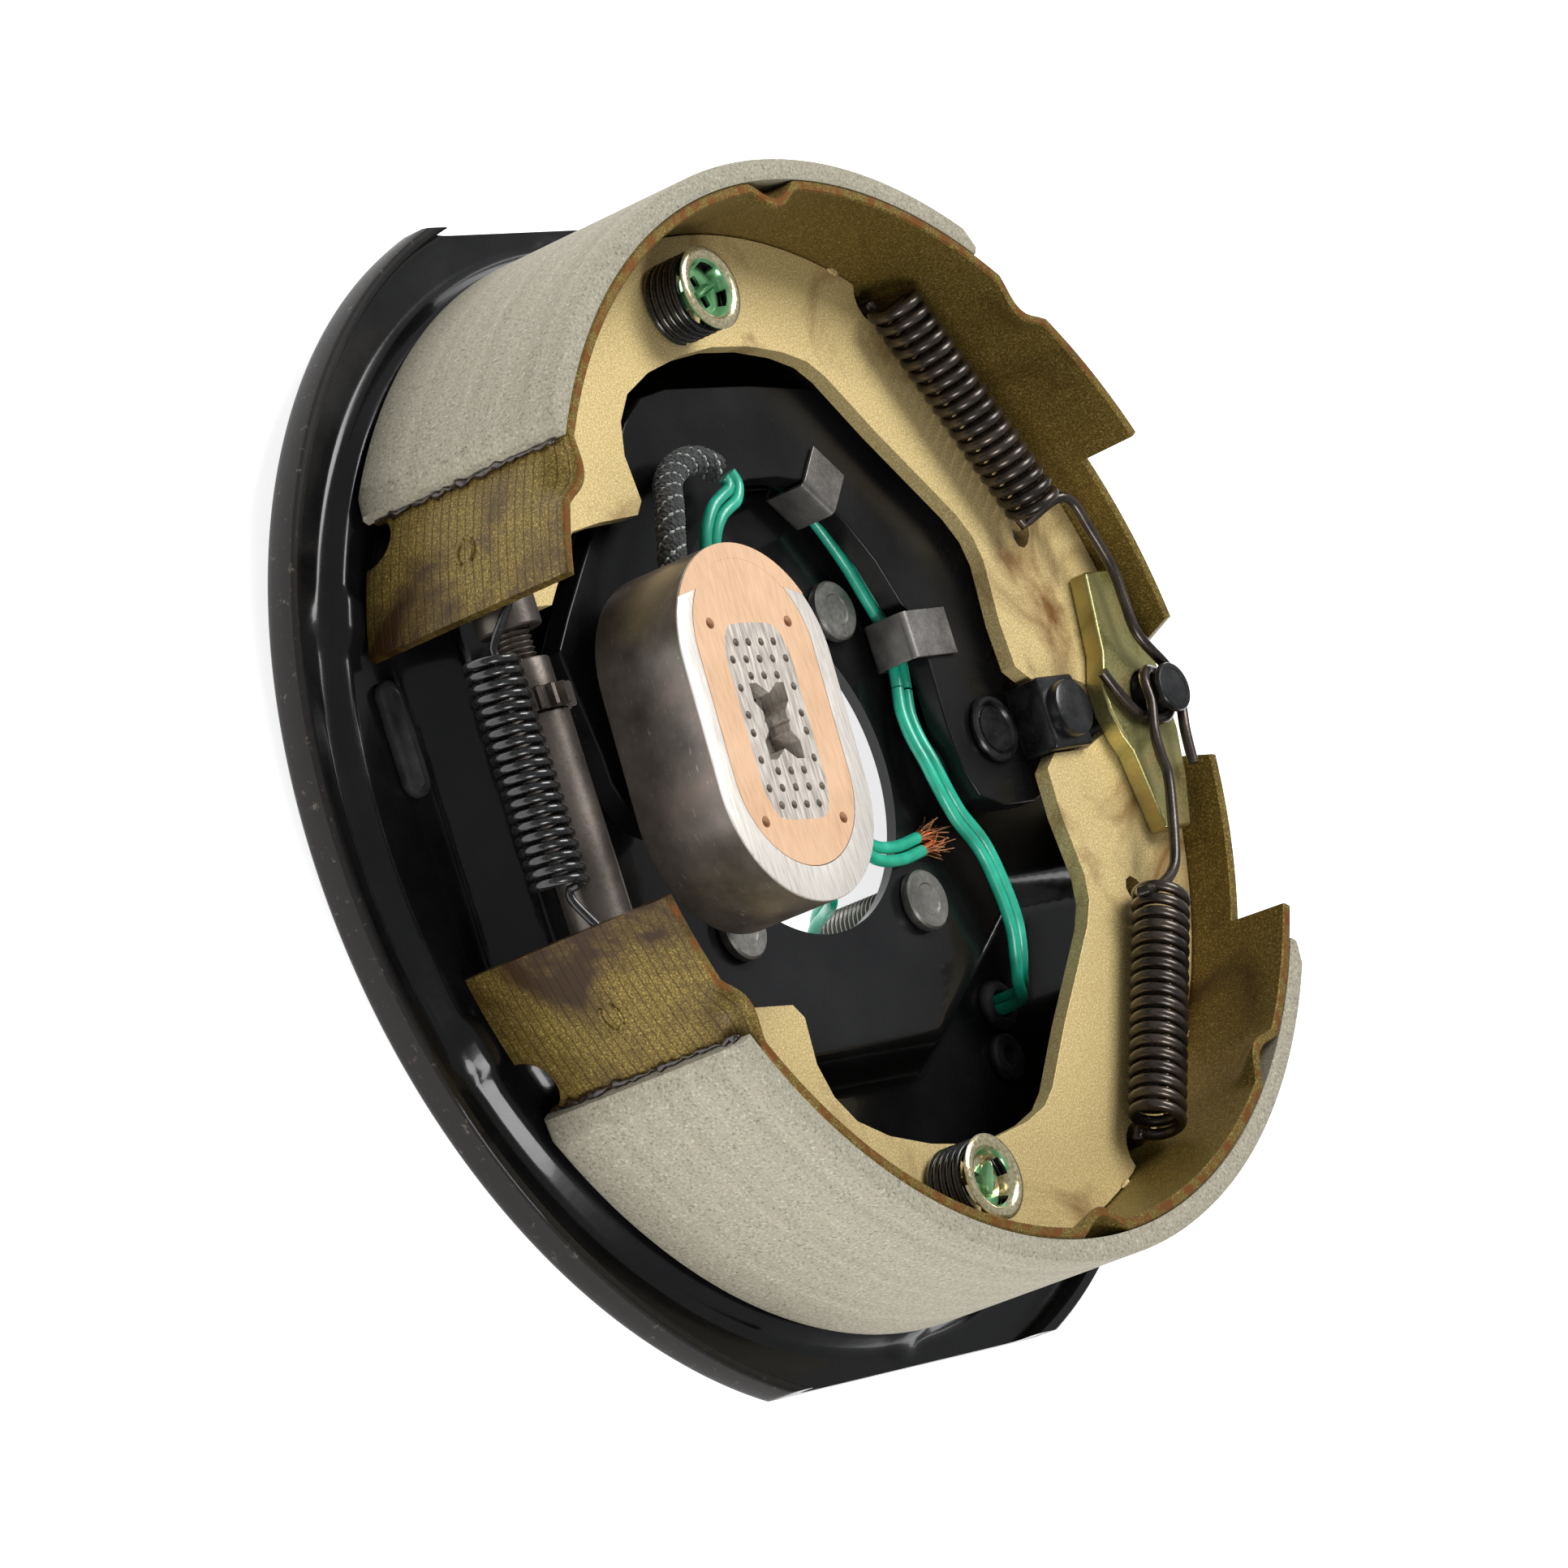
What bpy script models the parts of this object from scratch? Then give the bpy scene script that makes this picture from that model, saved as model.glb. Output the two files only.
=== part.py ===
"""Electric drum brake assembly for a trailer axle, left-hand, 10 x 2-1/4 inch.

Frame: metres, origin on the axle axis at the back (mounting) face of the backing plate.
+Z points at the hub and drum, +Y at the anchor post, +X at the secondary (rear) shoe.
The adjuster and the magnet are at -Y.
"""
import math

import bmesh
import bpy
from mathutils import Matrix, Vector

GAP = 0.0003  # running clearance and face gap between neighbouring pieces

# Backing plate, one pressed sheet
SHEET = 0.003
BORE_RADIUS = 0.038
RAISED_HALF_WIDTH = 0.063
RAISED_BOTTOM_MARGIN = 0.0464  # from the raised part's lower edge to the rim
RAISED_MARGIN = 0.0339  # from the raised part's rounded lower corners to the rim
RAISED_SHOULDER_Y = 0.028
RAISED_NECK_HALF_WIDTH = 0.036
RAISED_NECK_Y = 0.068
TONGUE_HALF_WIDTH = 0.030
TONGUE_MARGIN = 0.0204  # from the tongue's top to the rim
PRESS_SLOPE = 0.009  # width of the slope round the raised centre
LEDGE_Z = -0.0095
LEDGE_WIDTH = 0.0174  # from the ledge's end to the rim
FLOOR_Z = -0.014
STEP_WIDTH = 0.004
RIM_RADIUS = 0.1424
RIM_HEIGHT = 0.006  # of the lip above the floor
RIM_FILLET = 0.002
FLAT_DEPTH = 0.0094  # how far the plate's two flats are cut in from the rim
PAD_HEIGHT = 0.0016
PAD_ANGLES = (-67.5, 0, 52.5, 127.5, 180, 247.5)
PAD_REACH = 0.008
PLATE_COLUMNS = 48

# Mounting studs, 7/16 inch on a 2-11/16 inch square
STUD_SPACING = 0.0683
STUD_RADIUS = 0.00555
STUD_HEAD_RADIUS = 0.007
STUD_HEAD_THICKNESS = 0.0026
STUD_END_Z = -0.0254

# Shoes: a rolled table welded to a flat web, with a bonded lining
SHOE_WIDTH = 0.05715
SHOE_BACK_Z = -0.0076
TABLE_RADIUS = 0.121
DRAWN_TABLE_RADIUS = 0.121  # the table radius that the web's inner edge is drawn for
TABLE_SHEET = 0.0025
LINING_THICKNESS = 0.0053
WEB_THICKNESS = 0.004
WEB_Z = 0.019  # back face of the webs
STRIP_Z = 0.0075  # the narrow end of a table, beside the anchor
STRIP_WIDTH = 0.027
NIB_DEPTH = 0.004
NOTCH_RADIUS = 0.0065  # half-round notches, in a table's back edge and for a spring's hook

# Anchor post with the guide plate
ANCHOR_Y = 0.1095
ANCHOR_RADIUS = 0.008
ANCHOR_SHOULDER_RADIUS = 0.006
ANCHOR_NECK_RADIUS = 0.004
ANCHOR_HEAD_RADIUS = 0.0059
ANCHOR_HEAD_THICKNESS = 0.0018
ANCHOR_COLLAR_RADIUS = 0.011
ANCHOR_COLLAR_HEIGHT = 0.005
GUIDE_THICKNESS = 0.0052
GUIDE_HALF_LENGTH = 0.031

# Actuating lever, its pivot, and the block between the webs
PIVOT_Y = 0.0635
PIVOT_RADIUS = 0.006
PIVOT_SHANK_RADIUS = 0.005  # through the backing plate
PIVOT_RING_RADIUS = 0.0078
PIVOT_BOSS_RADIUS = 0.010
LEVER_Z = 0.0095
LEVER_THICKNESS = 0.006
BLOCK_Y = 0.079
BLOCK_HALF_WIDTH = 0.0085
BLOCK_HALF_LENGTH = 0.0072
BLOCK_FRONT_Z = 0.026
BLOCK_BOSS_HEIGHT = 0.003
BLOCK_STEM_RADIUS = 0.004

# Magnet on the lever's free end
MAGNET_X = -0.0009
MAGNET_Y = -0.0586
MAGNET_TILT = math.radians(-3)
MAGNET_LENGTH = 0.080
MAGNET_WIDTH = 0.051
MAGNET_BACK_Z = 0.024
MAGNET_DEPTH = 0.024
MAGNET_WALL = 0.0055
MAGNET_FLOOR = 0.005
POCKET_SHIFT = 0.0022  # the pocket lies nearer to the upper end
FACE_THICKNESS = 0.006
CORE_LENGTH = 0.0438
CORE_WIDTH = 0.0225
CORE_END_WIDTH = 0.0140
MAGNET_STUD_RADIUS = 0.0032
MAGNET_HOLE_X = 0.022
MAGNET_HOLE_Y = 0.0135

# Star-wheel adjuster between the shoes' lower ends
ADJUSTER_Y = -0.1024
ADJUSTER_Z = WEB_Z + WEB_THICKNESS / 2
SLEEVE_RADIUS = 0.007
ADJUSTER_HALF_LENGTH = 0.045
FORK_DEPTH = 0.0053
NUT_LENGTH = 0.012
THREAD_RADIUS = 0.004
STAR_X = -0.0195
STAR_THICKNESS = 0.005
STAR_RADIUS = 0.009
STAR_TEETH = 16
HUB_LENGTH = 0.0065
HUB_RADIUS = 0.0062
STEM_RADIUS = 0.0035
STEM_LENGTH = 0.034

# Springs
RETURN_WIRE = 0.0026
RETURN_OUTSIDE = 0.0135
RETURN_TURNS = 18
ADJUSTER_WIRE = 0.002
ADJUSTER_SPRING_OUTSIDE = 0.0128
ADJUSTER_TURNS = 20
HOLD_DOWN_WIRE = 0.0018
HOLD_DOWN_TURNS = 5

# Hold-down pins and cups
HOLD_DOWN_X = TABLE_RADIUS - 0.0192
HOLD_DOWN_Y = -0.016
PIN_RADIUS = 0.0024
CUP_RADIUS = 0.0097
CUP_WALL_RADIUS = 0.0074
CUP_FRONT_Z = 0.036
CUP_DEPTH = 0.0045
CUP_SHEET = 0.0008
WEB_PIN_HOLE_RADIUS = 0.0052

# Rubber and plastic pieces in the plate
SLOT_X = -0.020
SLOT_MARGIN = 0.0317  # from the adjusting slot's middle to the rim
SLOT_LENGTH = 0.026
SLOT_WIDTH = 0.008
GROMMET_X = 0.0583
GROMMET_Y = 0.0674
GROMMET_RADIUS = 0.0046
RUBBER_LIP = 0.0014
PLUG_X = 0.0703
PLUG_Y = 0.0646

# Leads
LEAD_RADIUS = 0.0014
LEAD_SPACING = 2 * LEAD_RADIUS + GAP
SLEEVE_TUBE_RADIUS = 0.0033

# Sizes that follow from the ones above
LEDGE_RADIUS = RIM_RADIUS - LEDGE_WIDTH
PAD_RADIUS = LEDGE_RADIUS - 0.001
SLOT_Y = SLOT_MARGIN - RIM_RADIUS
RAISED_RADIUS = RIM_RADIUS - RAISED_MARGIN
RAISED_BOTTOM_Y = RAISED_BOTTOM_MARGIN - RIM_RADIUS
TONGUE_TOP_Y = RIM_RADIUS - TONGUE_MARGIN
FLAT_X = RIM_RADIUS - FLAT_DEPTH
STUD_PLACES = [(x * STUD_SPACING / 2, y * STUD_SPACING / 2) for x, y in ((1, 1), (-1, 1), (-1, -1), (1, -1))]
WEB_FRONT_Z = WEB_Z + WEB_THICKNESS
TABLE_INNER = TABLE_RADIUS - TABLE_SHEET
WEB_RADIUS = TABLE_INNER - GAP
LEVER_FRONT_Z = LEVER_Z + LEVER_THICKNESS
GUIDE_Z = WEB_FRONT_Z + GAP
GUIDE_FRONT_Z = GUIDE_Z + GUIDE_THICKNESS
HOOK_LOW_Z = GUIDE_FRONT_Z + GAP + RETURN_WIRE / 2
HOOK_HIGH_Z = HOOK_LOW_Z + RETURN_WIRE + GAP
ANCHOR_HEAD_Z = HOOK_HIGH_Z + RETURN_WIRE / 2 + GAP
ANCHOR = Vector((0, ANCHOR_Y, 0))
PIVOT = Vector((0, PIVOT_Y, 0))
BLOCK = Vector((0, BLOCK_Y, 0))
MAGNET = Vector((MAGNET_X, MAGNET_Y, 0))
RETURN_COIL_Z = WEB_FRONT_Z + GAP + RETURN_OUTSIDE / 2 + 0.001
SPRING_NOTCH = (TABLE_RADIUS - 0.0200, 0.0600)  # half-round bite at the web's outer edge
WEB_SLOT = (0.0432, 0.0884)
HOOK_HOLE = (0.0488, -0.1036)  # for the adjuster spring's end
HOOK_HOLE_RADIUS = ADJUSTER_WIRE / 2 + GAP + 0.0003
RETURN_OUTER = (TABLE_RADIUS - 0.0236, 0.0556)
RETURN_INNER = (0.0460, 0.0855)
ADJUSTER_COIL = (-0.0270, 0.0235)  # where the adjuster spring's coils start and end along X
ADJUSTER_SPRING_BEARING = 164  # direction from the adjuster to its spring, from +Y towards +Z
ADJUSTER = Vector((0, ADJUSTER_Y, ADJUSTER_Z))
ADJUSTER_NUT = Vector((-ADJUSTER_HALF_LENGTH + FORK_DEPTH, ADJUSTER_Y, ADJUSTER_Z))
PLUG_RADIUS = 0.0042
CLIP_RISE = 0.012  # of the magnet's retaining clip above the housing's floor
CLIP_THICKNESS = 0.0012
CLIP_TAB = 0.0100  # length of a wire clip on the lever's face
CLIP_WIDTH = 0.011
CLIP_SHEET = 0.0009
CLIP_LOW_Z = 0.0047
HOOK_PLAY = 0.0006  # between a spring's hook and the anchor's neck
HOOK_POINT = (TABLE_RADIUS - 0.0218, 0.0575)  # where a return spring's short hook passes through its notch

# Routes of the leads, by hand. Each is a centre line; two leads lie beside it.
SLEEVE_ROUTE = [
    (-0.0403, -0.0510, 0.0282), (-0.0458, -0.0490, 0.0282), (-0.0550, -0.0430, 0.0265),
    (-0.0625, -0.0350, 0.0225), (-0.0665, -0.0270, 0.0214), (-0.0668, -0.0204, 0.0214),
    (-0.0645, -0.0160, 0.0218),
]
LEVER_ROUTE = [
    (-0.0629, -0.0131, 0.0221), (-0.0607, -0.0122, 0.0223), (-0.0582, -0.0138, 0.0224),
    (-0.0566, -0.0172, 0.0222), (-0.0545, -0.0205, 0.0216), (-0.0500, -0.0235, 0.0206),
    (-0.0440, -0.0246, 0.0192), (-0.0390, -0.0250, 0.0178), (-0.0315, -0.0265, 0.0135),
    (-0.0272, -0.0312, 0.0097),
    (-0.0300, -0.0362, 0.0077), (-0.0375, -0.0385, 0.0077), (-0.0460, -0.0370, 0.0077),
    (-0.0570, -0.0290, 0.0076), (-0.0680, -0.0170, 0.0073), (-0.0720, 0.0000, 0.0070),
    (-0.0705, 0.0150, 0.0073), (-0.0655, 0.0255, 0.0075), (-0.0580, 0.0330, 0.0076),
    (-0.0470, 0.0401, 0.0076), (-0.0375, 0.0444, 0.0076), (-0.0295, 0.0474, 0.0076),
    (-0.0210, 0.0477, 0.0076), (-0.0140, 0.0464, 0.0076),
]
BRIDGE_ROUTE = [
    (-0.0135, 0.0462, 0.0076), (-0.0080, 0.0446, 0.0078), (-0.0020, 0.0436, 0.0090),
    (0.0040, 0.0436, 0.0105), (0.0110, 0.0449, 0.0110), (0.0175, 0.0482, 0.0105), (0.0250, 0.0540, 0.0100),
    (0.0340, 0.0570, 0.0095), (0.0430, 0.0590, 0.0085), (0.0500, 0.0605, 0.0060),
    (0.0550, 0.0625, 0.0030), (0.0577, 0.0658, 0.0000), (0.0583, 0.0674, -0.0045),
    (0.0583, 0.0674, -0.0097),
]
TAIL_ROUTE = [
    (0.0583, 0.0674, -0.0100), (0.0583, 0.0674, -0.0145), (0.0577, 0.0650, -0.0190),
    (0.0550, 0.0570, -0.0210), (0.0520, 0.0430, -0.0205), (0.0480, 0.0300, -0.0200),
    (0.0420, 0.0180, -0.0170), (0.0340, 0.0110, -0.0100), (0.0310, 0.0060, -0.0020),
    (0.0300, -0.0010, 0.0060), (0.0255, -0.0050, 0.0105), (0.0200, -0.0020, 0.0120),
    (0.0195, 0.0080, 0.0098), (0.0225, 0.0190, 0.0070), (0.0228, 0.0290, 0.0055),
    (0.0215, 0.0380, 0.0050),
]


def clear_scene():
    for thing in list(bpy.data.objects):
        bpy.data.objects.remove(thing)


def material(name, colour, roughness, metallic):
    made = bpy.data.materials.new(name)
    made.use_nodes = True
    shader = made.node_tree.nodes["Principled BSDF"]
    shader.inputs["Base Color"].default_value = (*colour, 1)
    shader.inputs["Roughness"].default_value = roughness
    shader.inputs["Metallic"].default_value = metallic
    return made


def add_object(name, bm, finish, origin=Vector((0, 0, 0)), smooth=True):
    """Turn a bmesh in world coordinates into an object whose origin is at the given point."""
    bmesh.ops.remove_doubles(bm, verts=bm.verts, dist=1e-7)
    bmesh.ops.recalc_face_normals(bm, faces=bm.faces)
    bmesh.ops.translate(bm, verts=bm.verts, vec=-Vector(origin))
    mesh = bpy.data.meshes.new(name)
    bm.to_mesh(mesh)
    bm.free()
    mesh.materials.append(finish)
    if smooth:
        mesh.shade_smooth()
        mesh.set_sharp_from_angle(angle=math.radians(35))
    made = bpy.data.objects.new(name, mesh)
    made.location = origin
    bpy.context.scene.collection.objects.link(made)
    return made


def polar(radius, degrees, centre=(0, 0)):
    angle = math.radians(degrees)
    return (centre[0] + radius * math.cos(angle), centre[1] + radius * math.sin(angle))


def arc(radius, start, end, count, centre=(0, 0)):
    """Points along an arc, both ends included; angles in degrees."""
    return [polar(radius, start + (end - start) * i / (count - 1), centre) for i in range(count)]


def circle(radius, count, centre=(0, 0)):
    return [polar(radius, 360 * i / count, centre) for i in range(count)]


def stadium(length, width, count, centre=(0, 0), angle=0):
    """A slot-shaped outline, its long side along X before it is turned by the angle."""
    end = (length - width) / 2
    points = arc(width / 2, -90, 90, count, (end, 0)) + arc(width / 2, 90, 270, count, (-end, 0))
    turn = Matrix.Rotation(angle, 2)
    return [tuple(turn @ Vector(p) + Vector(centre)) for p in points]


def mirrored(points):
    return [(-x, y) for x, y in reversed(points)]


def prism(bm, outline, z_low, z_high, holes=()):
    """A flat piece of even thickness, with its holes, as one closed solid."""
    edges = []
    for loop in (outline, *holes):
        ring = [bm.verts.new((x, y, z_low)) for x, y in loop]
        edges += [bm.edges.new((ring[i - 1], ring[i])) for i in range(len(ring))]
    filled = bmesh.ops.triangle_fill(bm, edges=edges, use_beauty=True)
    faces = [item for item in filled["geom"] if isinstance(item, bmesh.types.BMFace)]
    lifted = bmesh.ops.extrude_face_region(bm, geom=faces)
    raised = [item for item in lifted["geom"] if isinstance(item, bmesh.types.BMVert)]
    bmesh.ops.translate(bm, verts=raised, vec=(0, 0, z_high - z_low))
    return bm


def loft(bm, rings, closed=False):
    """Skin equal rings of points; the end rings are capped unless the skin closes on itself."""
    made = [[bm.verts.new(point) for point in ring] for ring in rings]
    count = len(made[0])
    for k in range(0 if closed else 1, len(made)):
        low, high = made[k - 1], made[k]
        for i in range(count):
            bm.faces.new((low[i - 1], low[i], high[i], high[i - 1]))
    if not closed:
        bm.faces.new(list(reversed(made[0])))
        bm.faces.new(made[-1])
    return bm


def turned(bm, profile, count, centre=(0, 0)):
    """A turned piece about Z: its profile runs from one end to the other as (radius, z)."""
    rings = []
    for radius, z in profile:
        rings.append([(*polar(radius, 360 * i / count, centre), z) for i in range(count)])
    return loft(bm, rings)


def turned_ring(bm, profile, count, centre=(0, 0)):
    """A turned piece with a hole right through: its profile is a closed loop of (radius, z)."""
    rings = []
    for radius, z in profile:
        rings.append([(*polar(radius, 360 * i / count, centre), z) for i in range(count)])
    return loft(bm, rings, closed=True)


def wire(bm, path, diameter, sides):
    """A round wire along a path, its section carried along without twist."""
    path = [Vector(p) for p in path]
    heading = (path[1] - path[0]).normalized()
    across = heading.orthogonal().normalized()
    rings = []
    for k, point in enumerate(path):
        before, after = path[max(k - 1, 0)], path[min(k + 1, len(path) - 1)]
        turned_to = (after - before).normalized()
        across.rotate(heading.rotation_difference(turned_to))
        heading = turned_to
        up = heading.cross(across)
        ring = []
        for i in range(sides):
            angle = 2 * math.pi * i / sides
            ring.append(point + (across * math.cos(angle) + up * math.sin(angle)) * diameter / 2)
        rings.append(ring)
    return loft(bm, rings)


def smooth_path(points, spacing):
    """Evenly spaced points on a smooth curve through hand-chosen points."""
    points = [Vector(p) for p in points]
    guides = [2 * points[0] - points[1], *points, 2 * points[-1] - points[-2]]
    fine = []
    for k in range(1, len(guides) - 2):
        a, b, c, d = guides[k - 1:k + 3]
        for i in range(20):
            t = i / 20
            fine.append(0.5 * ((2 * b) + (c - a) * t + (2 * a - 5 * b + 4 * c - d) * t * t
                               + (3 * b - 3 * c + d - a) * t ** 3))
    fine.append(points[-1])
    lengths = [0.0]
    for k in range(1, len(fine)):
        lengths.append(lengths[-1] + (fine[k] - fine[k - 1]).length)
    count = max(2, round(lengths[-1] / spacing))
    even = []
    k = 1
    for i in range(count + 1):
        target = lengths[-1] * i / count
        while k < len(fine) - 1 and lengths[k] < target:
            k += 1
        span = lengths[k] - lengths[k - 1]
        even.append(fine[k - 1].lerp(fine[k], (target - lengths[k - 1]) / span))
    return even


def coil(start, end, radius, turns, steps, start_angle):
    """Points of a helix about the line from start to end; the angle is about that line."""
    start, end = Vector(start), Vector(end)
    axis = (end - start).normalized()
    side = axis.cross(Vector((0, 0, 1))).normalized() if abs(axis.z) < 0.9 else Vector((1, 0, 0))
    up = side.cross(axis)
    points = []
    total = round(turns * steps)
    for i in range(total + 1):
        angle = math.radians(start_angle) + 2 * math.pi * i / steps
        centre = start.lerp(end, i / total)
        points.append(centre + (side * math.cos(angle) + up * math.sin(angle)) * radius)
    return points


def cut(target, name, bm):
    """Cut the target with a guide solid that stays in the file as a hidden cutter."""
    cutter = add_object(name, bm, target.data.materials[0], smooth=False)
    cutter.hide_render = True
    cutter.display_type = "WIRE"
    step = target.modifiers.new(name, "BOOLEAN")
    step.operation = "DIFFERENCE"
    step.object = cutter
    return cutter


def box(bm, low, high):
    corners = [(low[0], low[1]), (high[0], low[1]), (high[0], high[1]), (low[0], high[1])]
    return prism(bm, corners, low[2], high[2])


def press_distance(x, y):
    """How far a point lies outside the raised centre of the plate; negative inside it."""
    x = abs(x)
    radius = math.hypot(x, y)
    slant = Vector((RAISED_NECK_Y - RAISED_SHOULDER_Y, RAISED_HALF_WIDTH - RAISED_NECK_HALF_WIDTH))
    slant.normalize()
    centre = max(
        x - RAISED_HALF_WIDTH,
        RAISED_BOTTOM_Y - y,
        y - RAISED_NECK_Y,
        radius - RAISED_RADIUS,
        slant.dot(Vector((x - RAISED_HALF_WIDTH, y - RAISED_SHOULDER_Y))),
    )
    tongue = max(x - TONGUE_HALF_WIDTH, y - TONGUE_TOP_Y, -y)
    return min(centre, tongue)


def plate_front(x, y):
    """Height of the plate's front face."""
    radius = math.hypot(x, y)
    step = min(max((radius - LEDGE_RADIUS) / STEP_WIDTH, 0), 1)
    base = LEDGE_Z + (FLOOR_Z - LEDGE_Z) * step
    slope = min(max(press_distance(x, y) / PRESS_SLOPE, 0), 1)
    slope = slope * slope * (3 - 2 * slope)
    height = SHEET + (base - SHEET) * slope
    for angle in PAD_ANGLES:
        pad = Vector(polar(PAD_RADIUS, angle))
        away = min((pad - Vector((x, y))).length / PAD_REACH, 1)
        if away < 1:
            height = max(height, base + PAD_HEIGHT * min(1, 2 * (1 - away)))
    return height


def press_radius(angle, distance):
    """Radius at which a ray from the axis reaches the given distance outside the raised centre."""
    radius = BORE_RADIUS
    while radius < RIM_RADIUS and press_distance(*polar(radius, angle)) < distance:
        radius += 0.0005
    return radius


def column_radii(angle):
    """Radii of the mesh rows along one ray, with rows on the pressed creases."""
    crease = press_radius(angle, 0)
    slope = [press_radius(angle, PRESS_SLOPE * share) for share in (1 / 3, 2 / 3, 1)]
    floor_end = RIM_RADIUS - SHEET - RIM_FILLET
    fixed = [PAD_RADIUS - 0.003, LEDGE_RADIUS, LEDGE_RADIUS + STEP_WIDTH]
    middle = (BORE_RADIUS + crease) / 2
    radii = sorted([BORE_RADIUS, middle, crease, *slope, (slope[-1] + fixed[0]) / 2, *fixed])
    for k in range(1, len(radii)):
        radii[k] = max(radii[k], radii[k - 1] + 0.0004)
    return radii + [floor_end]


def build_plate_shell():
    """The pressed sheet as one closed solid: front rows, rim, then the back rows."""
    bm = bmesh.new()
    rings = []
    for i in range(PLATE_COLUMNS):
        angle = 360 * i / PLATE_COLUMNS
        radii = column_radii(angle)
        front = [(r, plate_front(*polar(r, angle))) for r in radii]
        inner, lip = RIM_RADIUS - SHEET, FLOOR_Z + RIM_HEIGHT
        rim = [
            (inner - RIM_FILLET * 0.3, FLOOR_Z + RIM_FILLET * 0.3),
            (inner, FLOOR_Z + RIM_FILLET),
            (inner, lip),
            (RIM_RADIUS, lip),
            (RIM_RADIUS, FLOOR_Z),
            (RIM_RADIUS - SHEET * 0.4, FLOOR_Z - SHEET * 0.75),
        ]
        back = [(r, z - SHEET) for r, z in reversed(front)]
        rings.append([(*polar(r, angle), z) for r, z in front + rim + back])
    return loft(bm, rings, closed=True)


def build_backing_plate():
    black = material("black_gloss_paint", (0.012, 0.012, 0.013), 0.25, 0.0)
    plate = add_object("backing_plate", build_plate_shell(), black)
    holes = bmesh.new()
    reach = (-0.05, 0.05)
    for place in STUD_PLACES:
        prism(holes, circle(STUD_RADIUS + GAP, 24, place), *reach)
    prism(holes, circle(ANCHOR_SHOULDER_RADIUS + GAP, 20, (0, ANCHOR_Y)), *reach)
    prism(holes, circle(PIVOT_SHANK_RADIUS + GAP, 20, (0, PIVOT_Y)), *reach)
    for side in (-1, 1):
        prism(holes, circle(PIN_RADIUS + GAP, 12, (side * HOLD_DOWN_X, HOLD_DOWN_Y)), *reach)
        low_x, high_x = sorted((side * FLAT_X, side * (RIM_RADIUS + 0.01)))
        box(holes, (low_x, -RIM_RADIUS, reach[0]), (high_x, RIM_RADIUS, reach[1]))
    slot = stadium(SLOT_LENGTH - 0.003 + GAP, SLOT_WIDTH - 0.003 + GAP, 6, (SLOT_X, SLOT_Y))
    prism(holes, slot, *reach)
    prism(holes, circle(GROMMET_RADIUS + GAP, 16, (GROMMET_X, GROMMET_Y)), *reach)
    prism(holes, circle(PLUG_RADIUS + GAP, 16, (PLUG_X, PLUG_Y)), *reach)
    cut(plate, "plate_holes", holes)


def build_studs():
    steel = material("dark_stud_steel", (0.055, 0.055, 0.055), 0.5, 0.6)
    head = SHEET + GAP
    profile = [
        (0.0035, STUD_END_Z),
        (STUD_RADIUS, STUD_END_Z + 0.002),
        (STUD_RADIUS, head),
        (STUD_HEAD_RADIUS, head),
        (STUD_HEAD_RADIUS, head + STUD_HEAD_THICKNESS - 0.0004),
        (STUD_HEAD_RADIUS - 0.0006, head + STUD_HEAD_THICKNESS),
    ]
    for number, (x, y) in enumerate(STUD_PLACES, 1):
        bm = turned(bmesh.new(), profile, 24, (x, y))
        add_object(f"mounting_stud_{number}", bm, steel, (x, y, 0))


def build_anchor_post():
    steel = material("black_post_steel", (0.02, 0.02, 0.021), 0.35, 0.6)
    collar = SHEET + GAP
    profile = [
        (ANCHOR_RADIUS, -GAP - 0.003),
        (ANCHOR_RADIUS + 0.001, -GAP),
        (ANCHOR_SHOULDER_RADIUS, -GAP),
        (ANCHOR_SHOULDER_RADIUS, collar),
        (ANCHOR_COLLAR_RADIUS, collar),
        (ANCHOR_COLLAR_RADIUS, collar + ANCHOR_COLLAR_HEIGHT),
        (ANCHOR_RADIUS, collar + ANCHOR_COLLAR_HEIGHT),
        (ANCHOR_RADIUS, WEB_FRONT_Z),
        (ANCHOR_SHOULDER_RADIUS, WEB_FRONT_Z),
        (ANCHOR_SHOULDER_RADIUS, GUIDE_FRONT_Z),
        (ANCHOR_NECK_RADIUS, GUIDE_FRONT_Z),
        (ANCHOR_NECK_RADIUS, ANCHOR_HEAD_Z),
        (ANCHOR_HEAD_RADIUS, ANCHOR_HEAD_Z + 0.0002),
        (ANCHOR_HEAD_RADIUS, ANCHOR_HEAD_Z + ANCHOR_HEAD_THICKNESS - 0.0005),
        (ANCHOR_HEAD_RADIUS - 0.0008, ANCHOR_HEAD_Z + ANCHOR_HEAD_THICKNESS),
    ]
    add_object("anchor_post", turned(bmesh.new(), profile, 16, (0, ANCHOR_Y)), steel, ANCHOR)


def build_guide_plate():
    zinc = material("yellow_zinc", (0.42, 0.38, 0.16), 0.35, 0.8)
    tip = GUIDE_HALF_LENGTH
    outline = [
        (-tip, -0.0092), (-0.012, -0.0125), (-0.004, -0.0165), (0.002, -0.0165), (0.0083, -0.0147),
        (0.012, -0.0125), (tip, -0.0092), (tip, 0.0008), (0.020, 0.0050), (0.008, 0.0078),
        (-0.008, 0.0078), (-0.020, 0.0050), (-tip, 0.0008),
    ]
    placed = [(x, y + ANCHOR_Y) for x, y in outline]
    hole = circle(ANCHOR_SHOULDER_RADIUS + GAP, 20, (0, ANCHOR_Y))
    bm = prism(bmesh.new(), placed, GUIDE_Z, GUIDE_FRONT_Z, [hole])
    add_object("shoe_guide_plate", bm, zinc, ANCHOR, smooth=False)


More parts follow.
